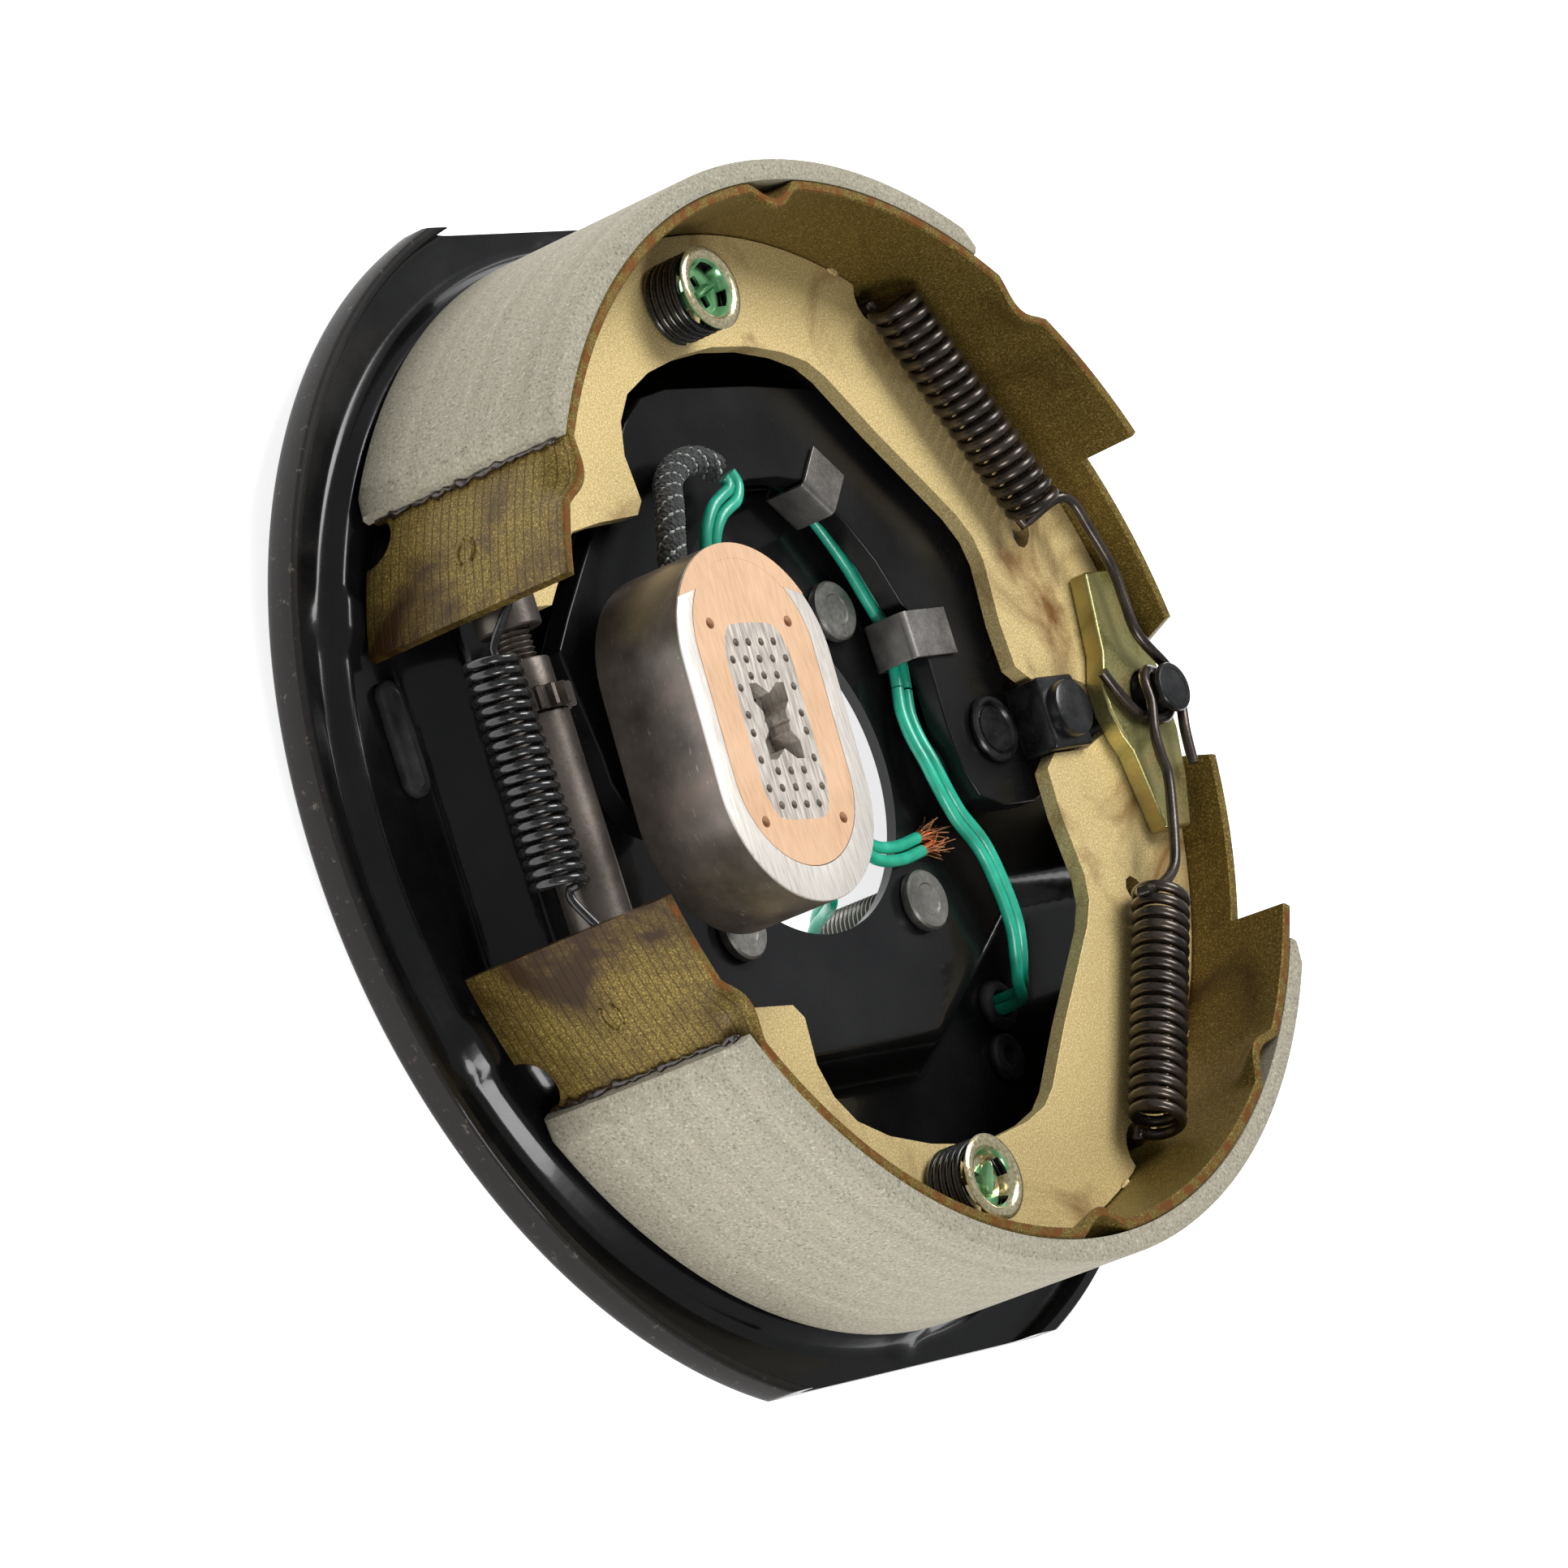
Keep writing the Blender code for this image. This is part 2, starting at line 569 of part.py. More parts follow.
def table_columns(start, step, end, nibs, notches, last_cut):
    """Columns of a rolled table as (angle, back z, front z, nib depth at the front edge).

    The angles run from the wide end to the narrow strip's end on the secondary side.
    """
    front = SHOE_BACK_Z + SHOE_WIDTH
    strip_front = STRIP_Z + STRIP_WIDTH
    angles = {start, step - 0.2, step + 0.8, end - 1.5, end}
    spread = round((step - start) / 4.5)
    angles.update(start + (step - start) * i / spread for i in range(1, spread))
    angles.update(step + 4 * i for i in range(1, int((end - step) / 4)))
    notch_reach = math.degrees(NOTCH_RADIUS / TABLE_RADIUS)
    for centre in notches:
        angles.update(centre + notch_reach * share for share in (-1, -0.85, -0.5, 0, 0.5, 0.85, 1))
    for centre in nibs:
        angles.update(centre + share for share in (-4, -2.2, 0, 2.2, 4))
    columns = []
    for angle in sorted(angles):
        wide = angle < step
        back = SHOE_BACK_Z if wide else STRIP_Z
        top = front if wide else strip_front
        for centre in notches:
            share = abs(angle - centre) / notch_reach
            if share < 1:
                back += NOTCH_RADIUS * math.sqrt(1 - share * share)
        depth = 0.0
        for centre in nibs:
            depth = max(depth, NIB_DEPTH * (1 - (abs(angle - centre) / 4) ** 2))
        if angle > end - 1:
            top -= last_cut
        columns.append((angle, back, top, max(depth, 0.0)))
    return columns


def rolled(columns, inner, outer, flip):
    """Bend a strip, given as columns, round the axis; flip puts it on the primary side."""
    rings = []
    for angle, back, front, depth in columns:
        shown = 180 - angle if flip else angle
        rows = [(back, 0.0), (front - 0.008, 0.0), (front, depth)]
        loop = [(*polar(inner - dip, shown), z) for z, dip in rows]
        loop += [(*polar(outer - dip, shown), z) for z, dip in reversed(rows)]
        rings.append(loop)
    return loft(bmesh.new(), rings)


def build_tables():
    gold = material("gold_shoe_coating", (0.30, 0.21, 0.07), 0.4, 0.7)
    nibs, notches = (-60, -1, 41), (-61,)
    secondary = table_columns(-74, 62, 83, nibs, notches, 0.0075)
    primary = table_columns(-72, 62, 83.5, nibs, (-59,), 0.0075)
    add_object("secondary_shoe_table", rolled(secondary, TABLE_INNER, TABLE_RADIUS, False), gold, ANCHOR)
    add_object("primary_shoe_table", rolled(primary, TABLE_INNER, TABLE_RADIUS, True), gold, ANCHOR)


def build_lining(name, start, end, flip):
    grey = material(f"{name}_friction_material", (0.33, 0.32, 0.29), 0.85, 0.0)
    inner = TABLE_RADIUS + GAP
    outer = TABLE_RADIUS + LINING_THICKNESS
    front = SHOE_BACK_Z + SHOE_WIDTH
    count = round((end - start) / 4.5)
    angles = [start + (end - start) * i / count for i in range(count + 1)]
    columns = [(angle, SHOE_BACK_Z, front, 0.0) for angle in angles]
    add_object(name, rolled(columns, inner, outer, flip), grey, ANCHOR)


def web_outline(inner_edge, table_start, table_end):
    """Outline of a web on the secondary side: along the table, round the post, and back inside."""
    seat = ANCHOR_RADIUS + GAP
    outline = arc(WEB_RADIUS, table_start, table_end, 46)
    notch = Vector(SPRING_NOTCH)
    kept = [p for p in outline if (Vector(p) - notch).length > NOTCH_RADIUS]
    split = next(i for i, p in enumerate(kept) if math.atan2(p[1], p[0]) > math.atan2(notch.y, notch.x))
    toward = math.degrees(math.atan2(notch.y, notch.x))
    bite = arc(NOTCH_RADIUS, toward - 88, toward - 272, 9, SPRING_NOTCH)
    outline = kept[:split] + bite + kept[split:]
    outline += arc(seat, 70, -65, 12, (0, ANCHOR_Y))
    return outline + list(inner_edge)


def adjuster_end():
    """Lower end of a web: the prong and the recess that the adjuster's fork is seated in."""
    recess = SLEEVE_RADIUS + GAP
    depth_x = ADJUSTER_HALF_LENGTH - FORK_DEPTH + GAP
    return [
        (0.0545, -0.0639),
        (0.0530, -0.0740),
        (0.0375, -0.0885),
        (0.0375, -0.0935),
        (depth_x, ADJUSTER_Y + recess),
        (depth_x, ADJUSTER_Y - recess),
    ]


def moved_with_table(point):
    """A point drawn for DRAWN_TABLE_RADIUS, moved out or in with the shoe's table."""
    place = Vector(point)
    return tuple(place * (1 + (TABLE_RADIUS - DRAWN_TABLE_RADIUS) / place.length))


def build_web(name, flip, inner_edge, start, end):
    gold = material(f"{name}_coating", (0.34, 0.25, 0.10), 0.4, 0.7)
    outline = web_outline(inner_edge, start, end) + adjuster_end()
    holes = [
        circle(WEB_PIN_HOLE_RADIUS, 16, (HOLD_DOWN_X, HOLD_DOWN_Y)),
        stadium(0.008, 0.0055, 5, WEB_SLOT, math.radians(40)),
        circle(HOOK_HOLE_RADIUS, 10, HOOK_HOLE),
    ]
    if flip:
        outline = mirrored(outline)
        holes = [mirrored(hole) for hole in holes]
    bm = prism(bmesh.new(), outline, WEB_Z, WEB_FRONT_Z, holes)
    add_object(name, bm, gold, ANCHOR, smooth=False)


def build_webs():
    clearance = BLOCK_HALF_WIDTH + GAP
    by_block = [
        (clearance, 0.0870), (clearance, 0.0740), (0.0122, 0.0695), (0.0230, 0.0690), (0.0375, 0.0705),
        (0.0434, 0.0692), (0.0490, 0.0655),
    ]
    under_table = [
        (0.0700, 0.0450), (0.0835, 0.0330), (0.0872, 0.0280), (0.0898, 0.0200), (0.0917, 0.0080),
        (0.0920, -0.0050), (0.0905, -0.0170), (0.0871, -0.0306), (0.0826, -0.0402),
        (0.0765, -0.0455), (0.0689, -0.0479),
    ]
    by_adjuster = [(0.0585, -0.0470), (0.0554, -0.0498)]
    inner_edge = by_block + [moved_with_table(point) for point in under_table] + by_adjuster
    build_web("secondary_shoe_web", False, inner_edge, -70, 85)
    build_web("primary_shoe_web", True, inner_edge, -70, 85)


def build_hold_down(side, label):
    x = side * HOLD_DOWN_X
    plate_back = LEDGE_Z - SHEET
    steel = material(f"{label}_pin_zinc", (0.45, 0.44, 0.38), 0.4, 0.8)
    cup_bottom = CUP_FRONT_Z - CUP_DEPTH
    head = cup_bottom + CUP_SHEET + GAP
    rings = []
    levels = [
        (0.005, 0.005, plate_back - GAP - 0.0016), (0.005, 0.005, plate_back - GAP),
        (PIN_RADIUS, PIN_RADIUS, plate_back - GAP), (PIN_RADIUS, PIN_RADIUS, head),
        (0.0042, 0.0014, head), (0.0042, 0.0014, head + 0.0018), (0.0034, 0.0010, head + 0.0024),
    ]
    for wide, thin, z in levels:
        points = [polar(1, 30 * i) for i in range(12)]
        rings.append([(x + wide * c, HOLD_DOWN_Y + thin * s, z) for c, s in points])
    add_object(f"{label}_hold_down_pin", loft(bmesh.new(), rings), steel, (x, HOLD_DOWN_Y, 0))

    zinc = material(f"{label}_cup_zinc", (0.55, 0.50, 0.33), 0.35, 0.8)
    hole = PIN_RADIUS + GAP
    wall = CUP_WALL_RADIUS
    profile = [
        (hole, cup_bottom), (wall - 0.0012, cup_bottom), (wall, CUP_FRONT_Z - 0.0016),
        (CUP_RADIUS, CUP_FRONT_Z - 0.0012), (CUP_RADIUS, CUP_FRONT_Z - 0.0004),
        (wall - 0.0002, CUP_FRONT_Z), (wall - CUP_SHEET - 0.0006, CUP_FRONT_Z - 0.0012),
        (wall - CUP_SHEET - 0.0014, cup_bottom + CUP_SHEET), (hole, cup_bottom + CUP_SHEET),
    ]
    bm = turned_ring(bmesh.new(), profile, 16, (x, HOLD_DOWN_Y))
    add_object(f"{label}_hold_down_cup", bm, zinc, (x, HOLD_DOWN_Y, 0))

    black = material(f"{label}_spring_black", (0.015, 0.015, 0.015), 0.35, 0.5)
    radius = CUP_WALL_RADIUS + GAP + HOLD_DOWN_WIRE / 2
    low = WEB_FRONT_Z + GAP + HOLD_DOWN_WIRE / 2
    high = CUP_FRONT_Z - 0.0016 - GAP - HOLD_DOWN_WIRE / 2
    points = coil((x, HOLD_DOWN_Y, low), (x, HOLD_DOWN_Y, high), radius, HOLD_DOWN_TURNS, 10, 0)
    bm = wire(bmesh.new(), points, HOLD_DOWN_WIRE, 5)
    add_object(f"{label}_hold_down_spring", bm, black, (x, HOLD_DOWN_Y, 0))


def build_return_spring(name, flip, tail, steel):
    """Coil from the shoe's notch towards the anchor, a short hook outside, a long tail inside."""
    sign = -1 if flip else 1
    outer = Vector((sign * RETURN_OUTER[0], RETURN_OUTER[1], RETURN_COIL_Z))
    inner = Vector((sign * RETURN_INNER[0], RETURN_INNER[1], RETURN_COIL_Z))
    radius = (RETURN_OUTSIDE - RETURN_WIRE) / 2
    turns = coil(outer, inner, radius, RETURN_TURNS, 8, -90)
    hook_x, hook_y = HOOK_POINT
    along = (outer - inner).normalized()
    hook = [
        (sign * hook_x, hook_y, WEB_Z - 0.003),
        (sign * hook_x, hook_y, WEB_Z + 0.001),
        (sign * hook_x, hook_y, WEB_FRONT_Z + 0.0005),
        tuple(turns[0] + along * 0.0014),
    ]
    exit_point = turns[-1] - along * 0.002
    path = smooth_path(hook, 0.0035) + turns + smooth_path([exit_point, *tail], 0.0045)
    bm = wire(bmesh.new(), path, RETURN_WIRE, 5)
    add_object(name, bm, steel, ANCHOR)


def around_anchor(degrees, z, extra=0.0):
    """A point on the hook's path round the anchor's neck."""
    radius = ANCHOR_NECK_RADIUS + HOOK_PLAY + RETURN_WIRE / 2 + extra
    return (*polar(radius, degrees, (0, ANCHOR_Y)), z)


def build_return_springs():
    steel = material("brown_black_spring_steel", (0.05, 0.04, 0.035), 0.3, 0.7)
    low, high = HOOK_LOW_Z, HOOK_HIGH_Z
    primary_tail = [
        (-0.0479, 0.0925, high - 0.001), (-0.0465, 0.0972, high), (-0.0404, 0.1003, high),
        (-0.0302, 0.1046, high), (-0.0222, 0.1052, high), (-0.0140, 0.1062, high),
        around_anchor(150, high, 0.0012), around_anchor(115, high), around_anchor(85, high),
        around_anchor(50, high, 0.0006), (0.0100, 0.1128, high), (0.0178, 0.1118, high),
    ]
    secondary_tail = [
        (0.0450, 0.0770, high - 0.001), (0.0445, 0.0834, high), (0.0413, 0.0903, high),
        (0.0358, 0.0940, high), (0.0207, 0.1000, high), (0.0148, 0.1000, high),
        (0.0090, 0.1005, high), around_anchor(290, high, 0.0010), around_anchor(262, high - 0.0004),
        around_anchor(232, high - 0.0012), around_anchor(200, low + 0.0010), around_anchor(165, low),
        around_anchor(130, low), around_anchor(95, low), around_anchor(60, low), around_anchor(25, low),
        around_anchor(-10, low), around_anchor(-38, low, 0.0003), (0.0040, 0.1010, low),
        (-0.0010, 0.0960, low), (-0.0068, 0.0920, low),
    ]
    build_return_spring("primary_return_spring", True, primary_tail, steel)
    build_return_spring("secondary_return_spring", False, secondary_tail, steel)


def turned_x(bm, profile, count):
    """A turned piece about the adjuster's axis; its profile runs along X as (radius, x)."""
    rings = []
    for radius, x in profile:
        ring = []
        for i in range(count):
            a, b = polar(radius, 360 * (i + 0.5) / count)
            ring.append((x, ADJUSTER_Y + a, ADJUSTER_Z + b))
        rings.append(ring)
    return loft(bm, rings)


def build_adjuster():
    black = material("black_adjuster_steel", (0.02, 0.02, 0.02), 0.35, 0.6)
    nut_open = -(ADJUSTER_HALF_LENGTH - NUT_LENGTH)
    nut_bore_end = -(ADJUSTER_HALF_LENGTH - FORK_DEPTH) + 0.0014
    star_right = STAR_X + STAR_THICKNESS
    bore = THREAD_RADIUS + GAP
    nut = [
        (bore, nut_bore_end), (bore, nut_open), (SLEEVE_RADIUS, nut_open),
        (SLEEVE_RADIUS, -ADJUSTER_HALF_LENGTH),
    ]
    nut_solid = add_object("adjuster_pivot_nut", turned_x(bmesh.new(), nut, 20), black, ADJUSTER_NUT)
    slot = WEB_THICKNESS / 2 + GAP
    fork = box(
        bmesh.new(),
        (-ADJUSTER_HALF_LENGTH - 0.01, ADJUSTER_Y - 0.01, ADJUSTER_Z - slot),
        (-ADJUSTER_HALF_LENGTH + FORK_DEPTH, ADJUSTER_Y + 0.01, ADJUSTER_Z + slot),
    )
    cut(nut_solid, "nut_fork_slot", fork)

    stem_bore = STEM_RADIUS + GAP
    socket_start = star_right + GAP
    socket = [
        (stem_bore, star_right + STEM_LENGTH + 0.002), (stem_bore, socket_start),
        (SLEEVE_RADIUS, socket_start), (SLEEVE_RADIUS, ADJUSTER_HALF_LENGTH),
    ]
    sleeve = add_object("adjuster_socket", turned_x(bmesh.new(), socket, 20), black, ADJUSTER)
    fork = box(
        bmesh.new(),
        (ADJUSTER_HALF_LENGTH - FORK_DEPTH, ADJUSTER_Y - 0.01, ADJUSTER_Z - slot),
        (ADJUSTER_HALF_LENGTH + 0.01, ADJUSTER_Y + 0.01, ADJUSTER_Z + slot),
    )
    cut(sleeve, "socket_fork_slot", fork)

    count = STAR_TEETH * 2
    profile = [
        (THREAD_RADIUS, nut_bore_end + 0.0012, 0), (THREAD_RADIUS, STAR_X - HUB_LENGTH, 0),
        (HUB_RADIUS, STAR_X - HUB_LENGTH, 0), (HUB_RADIUS, STAR_X, 0),
        (STAR_RADIUS, STAR_X, 1), (STAR_RADIUS, star_right, 1),
        (STEM_RADIUS, star_right, 0), (STEM_RADIUS, star_right + STEM_LENGTH, 0),
    ]
    rings = []
    for radius, x, toothed in profile:
        ring = []
        for i in range(count):
            reach = radius - 0.0016 if toothed and i % 2 else radius
            a, b = polar(reach, 360 * i / count)
            ring.append((x, ADJUSTER_Y + a, ADJUSTER_Z + b))
        rings.append(ring)
    add_object("adjuster_screw", loft(bmesh.new(), rings), black, ADJUSTER)


def build_adjuster_spring():
    black = material("black_spring_steel", (0.015, 0.015, 0.015), 0.3, 0.6)
    reach = STAR_RADIUS + ADJUSTER_SPRING_OUTSIDE / 2 + GAP
    away = math.radians(ADJUSTER_SPRING_BEARING)
    y = ADJUSTER_Y + reach * math.cos(away)
    z = ADJUSTER_Z + reach * math.sin(away)
    radius = (ADJUSTER_SPRING_OUTSIDE - ADJUSTER_WIRE) / 2
    turns = coil((ADJUSTER_COIL[0], y, z), (ADJUSTER_COIL[1], y, z), radius, ADJUSTER_TURNS, 8, 200)
    hook_x, hook_y = HOOK_HOLE

    def hook(sign, start):
        over = WEB_FRONT_Z + GAP + ADJUSTER_WIRE / 2
        return [
            start,
            (start[0] + sign * 0.003, start[1], start[2]),
            (sign * 0.0385, -0.1095, over + 0.0046),
            (sign * (hook_x - 0.0030), hook_y - 0.0028, over + 0.0050),
            (sign * hook_x, hook_y, over - 0.0005),
            (sign * hook_x, hook_y, WEB_Z - 0.0015),
        ]

    first, last = turns[0], turns[-1]
    left = list(reversed(smooth_path(hook(-1, tuple(first)), 0.0035)))
    right = smooth_path(hook(1, tuple(last)), 0.0035)
    bm = wire(bmesh.new(), left[:-1] + turns + right[1:], ADJUSTER_WIRE, 5)
    add_object("adjuster_spring", bm, black, ADJUSTER)


def build_lever():
    black = material("black_lever_paint", (0.015, 0.015, 0.016), 0.3, 0.2)
    outline = [
        (-0.0296, -0.0808), (-0.0365, -0.0747), (-0.0573, -0.0547), (-0.0785, -0.0342), (-0.0840, -0.0260),
        (-0.0856, -0.0161), (-0.0850, 0.0150), (-0.0831, 0.0401), (-0.0662, 0.0595), (-0.0477, 0.0754),
        (-0.0440, 0.0775), (-0.0390, 0.0784), (-0.0181, 0.0800), (-0.0110, 0.0835), (0.0000, 0.0850),
        (0.0090, 0.0835), (0.0150, 0.0790), (0.0175, 0.0720), (0.0175, 0.0600), (0.0147, 0.0520),
        (0.0086, 0.0488), (-0.0011, 0.0476), (-0.0145, 0.0483), (-0.0260, 0.0490), (-0.0321, 0.0450),
        (-0.0420, 0.0407), (-0.0521, 0.0335), (-0.0619, 0.0231), (-0.0634, 0.0147), (-0.0634, 0.0041),
        (-0.0619, -0.0041), (-0.0560, -0.0150), (-0.0450, -0.0280), (-0.0340, -0.0370), (-0.0220, -0.0415),
    ]
    outline += arc(0.0165, 80, -100, 9, (MAGNET_X - 0.002, MAGNET_Y - 0.0025))
    holes = [
        circle(PIVOT_RADIUS + GAP, 20, (0, PIVOT_Y)),
        circle(BLOCK_STEM_RADIUS + GAP, 14, (0, BLOCK_Y)),
        circle(MAGNET_STUD_RADIUS + GAP, 14, MAGNET.xy),
    ]
    bm = prism(bmesh.new(), list(reversed(outline)), LEVER_Z, LEVER_FRONT_Z, holes)
    add_object("actuating_lever", bm, black, PIVOT, smooth=False)


def build_lever_pivot():
    steel = material("black_pivot_steel", (0.02, 0.02, 0.021), 0.3, 0.6)
    shank = PIVOT_SHANK_RADIUS
    profile = [
        (shank + 0.002, -GAP - 0.0025), (shank + 0.003, -GAP), (shank, -GAP), (shank, SHEET + GAP),
        (PIVOT_BOSS_RADIUS, SHEET + GAP), (PIVOT_BOSS_RADIUS, LEVER_Z - GAP), (PIVOT_RADIUS, LEVER_Z - GAP),
        (PIVOT_RADIUS, LEVER_FRONT_Z + GAP), (PIVOT_RING_RADIUS, LEVER_FRONT_Z + GAP),
        (PIVOT_RING_RADIUS, LEVER_FRONT_Z + 0.0014), (PIVOT_RING_RADIUS - 0.0008, LEVER_FRONT_Z + 0.0018),
        (PIVOT_RADIUS, LEVER_FRONT_Z + 0.0018), (PIVOT_RADIUS - 0.0004, LEVER_FRONT_Z + 0.0008),
    ]
    add_object("lever_pivot", turned(bmesh.new(), profile, 18, (0, PIVOT_Y)), steel, PIVOT)


def build_block():
    steel = material("black_block_steel", (0.018, 0.018, 0.019), 0.4, 0.4)
    count = 16
    boss = BLOCK_HALF_WIDTH - 0.0004
    chamfer = 0.0005

    def square(inset, z):
        ring = []
        for i in range(count):
            c, s = polar(1, 360 * (i + 0.5) / count)
            grow = 1 / max(abs(c), abs(s))
            x = c * grow * (BLOCK_HALF_WIDTH - inset)
            y = BLOCK_Y + s * grow * (BLOCK_HALF_LENGTH - inset)
            ring.append((x, y, z))
        return ring

    def disc(radius, z):
        return [(*polar(radius, 360 * (i + 0.5) / count, (0, BLOCK_Y)), z) for i in range(count)]

    back = LEVER_FRONT_Z + GAP
    inner = min(boss, BLOCK_HALF_LENGTH - chamfer - 0.0002)
    rings = [
        disc(BLOCK_STEM_RADIUS, LEVER_Z), disc(BLOCK_STEM_RADIUS, back), square(chamfer, back),
        square(0, back + chamfer), square(0, BLOCK_FRONT_Z - chamfer), square(chamfer, BLOCK_FRONT_Z),
        disc(inner, BLOCK_FRONT_Z + 0.0001), disc(inner, BLOCK_FRONT_Z + BLOCK_BOSS_HEIGHT - chamfer),
        disc(inner - chamfer, BLOCK_FRONT_Z + BLOCK_BOSS_HEIGHT),
    ]
    add_object("actuating_block", loft(bmesh.new(), rings), steel, BLOCK)


def magnet_point(x, y):
    """A point given from the magnet's centre, in the magnet's own tilted axes."""
    turn = Matrix.Rotation(MAGNET_TILT, 2)
    return tuple(turn @ Vector((x, y)) + MAGNET.xy)


def magnet_slot(length, width, count, shift=0.0):
    return stadium(length, width, count, magnet_point(-shift, 0), MAGNET_TILT)


def core_outline(grow):
    """The core's long octagon, with its corners rounded off."""
    length = CORE_LENGTH / 2 + grow
    width = CORE_WIDTH / 2 + grow
    end = CORE_END_WIDTH / 2 + grow / 2
    corner = [
        (length, end), (length - 0.0012, end + 0.0018), (length - 0.0040, width - 0.0008),
        (length - 0.0080, width),
    ]
    upper = corner + [(-x, y) for x, y in reversed(corner)]
    return [magnet_point(x, y) for x, y in upper + [(-x, -y) for x, y in upper]]


def build_magnet():
    front = MAGNET_BACK_Z + MAGNET_DEPTH
    floor = MAGNET_BACK_Z + MAGNET_FLOOR
    pocket = (MAGNET_LENGTH - 2 * MAGNET_WALL, MAGNET_WIDTH - 2 * MAGNET_WALL)
    inside = (pocket[0] - 2 * GAP, pocket[1] - 2 * GAP)
    around_core = core_outline(GAP)
    face_back = front - FACE_THICKNESS

    iron = material("magnet_housing_steel", (0.10, 0.09, 0.08), 0.4, 0.6)
    shell = add_object(
        "magnet_housing",
        prism(bmesh.new(), magnet_slot(MAGNET_LENGTH, MAGNET_WIDTH, 14), MAGNET_BACK_Z, front,
              [circle(MAGNET_STUD_RADIUS + GAP, 14, MAGNET.xy)]),
        iron, MAGNET, smooth=False)
    pocket_outline = magnet_slot(*pocket, 14, POCKET_SHIFT)
    cut(shell, "magnet_pocket", prism(bmesh.new(), pocket_outline, floor, front + 0.01))

    copper = material("coil_winding_copper", (0.45, 0.18, 0.08), 0.45, 0.8)
    bm = prism(bmesh.new(), magnet_slot(*inside, 12, POCKET_SHIFT), floor + GAP, face_back - GAP,
               [around_core])
    add_object("magnet_coil", bm, copper, MAGNET, smooth=False)

    facing = material("copper_friction_face", (0.62, 0.40, 0.27), 0.5, 0.4)
    holes = [around_core]
    for side_x in (-1, 1):
        for side_y in (-1, 1):
            centre = magnet_point(side_x * MAGNET_HOLE_X, side_y * MAGNET_HOLE_Y)
            holes.append(circle(0.0013, 8, centre))
    bm = prism(bmesh.new(), magnet_slot(*inside, 12, POCKET_SHIFT), face_back, front, holes)
    add_object("magnet_friction_face", bm, facing, MAGNET, smooth=False)

    silver = material("ground_core_steel", (0.62, 0.60, 0.57), 0.35, 0.9)
    bow = [
        (0.0085, 0.0060), (0.0045, 0.0060), (0.0022, 0.0039), (-0.0022, 0.0039), (-0.0045, 0.0060),
        (-0.0085, 0.0060), (-0.0085, 0.0034), (-0.0062, 0.0000), (-0.0085, -0.0034), (-0.0085, -0.0060),
        (-0.0045, -0.0060), (-0.0022, -0.0039), (0.0022, -0.0039), (0.0045, -0.0060), (0.0085, -0.0060),
        (0.0085, -0.0034), (0.0062, 0.0000), (0.0085, 0.0034),
    ]
    opening = [magnet_point(x, y) for x, y in bow]
    bm = prism(bmesh.new(), core_outline(0), floor + GAP, front, [opening])
    add_object("magnet_core", bm, silver, MAGNET, smooth=False)


def build_magnet_mount():
    steel = material("magnet_stud_steel", (0.12, 0.12, 0.12), 0.4, 0.8)
    head = MAGNET_BACK_Z + MAGNET_FLOOR + CLIP_RISE
    radius = MAGNET_STUD_RADIUS
    profile = [
        (radius, LEVER_Z), (radius, head - GAP), (radius * 0.6, head - GAP),
        (radius * 0.6, head + CLIP_THICKNESS + GAP), (radius * 0.9, head + CLIP_THICKNESS + GAP),
        (radius * 0.9, head + CLIP_THICKNESS + GAP + 0.0012),
    ]
    add_object("magnet_stud", turned(bmesh.new(), profile, 14, MAGNET.xy), steel, MAGNET)

    arms = []
    for bearing, notch in ((30, 90), (150, 180), (210, 270), (330, 360)):
        arms += [polar(0.0078, bearing - 6), polar(0.0078, bearing + 6), polar(0.0029, notch)]
    outline = [magnet_point(x, y) for x, y in arms]
    hole = circle(radius * 0.6 + GAP, 10, MAGNET.xy)
    bm = prism(bmesh.new(), outline, head, head + CLIP_THICKNESS, [hole])
    add_object("magnet_clip", bm, steel, MAGNET, smooth=False)

    low = LEVER_FRONT_Z + GAP + 0.0006
    high = MAGNET_BACK_Z - GAP - 0.0006
    x, y = MAGNET.xy
    points = coil((x, y, low), (x, y, high), 0.0065, 3, 10, 0)
    add_object("magnet_spring", wire(bmesh.new(), points, 0.0012, 5), steel, MAGNET)


def build_cord(name, points, radius, finish, spacing):
    """A flexible lead: a bevelled curve with filled caps through hand-chosen points."""
    curve = bpy.data.curves.new(name, "CURVE")
    curve.dimensions = "3D"
    curve.bevel_depth = radius
    curve.bevel_resolution = 2
    curve.use_fill_caps = True
    path = smooth_path(points, spacing)
    spline = curve.splines.new("POLY")
    spline.points.add(len(path) - 1)
    for point, place in zip(spline.points, path):
        point.co = (*place, 1)
    curve.materials.append(finish)
    made = bpy.data.objects.new(name, curve)
    bpy.context.scene.collection.objects.link(made)


def side_by_side(points, offset, upright=(0.8, -0.6, 0)):
    """Shift a route sideways, so that two leads lie next to each other.

    Where the route stands upright, in the grommet, the given direction is used.
    """
    points = [Vector(p) for p in points]
    shifted = []
    for k, point in enumerate(points):
        run = points[min(k + 1, len(points) - 1)] - points[max(k - 1, 0)]
        across = run.cross(Vector((0, 0, 1)))
        level = across.length > 0.45 * run.length
        side = across.normalized() if level else Vector(upright)
        shifted.append(point + side * offset)
    return shifted


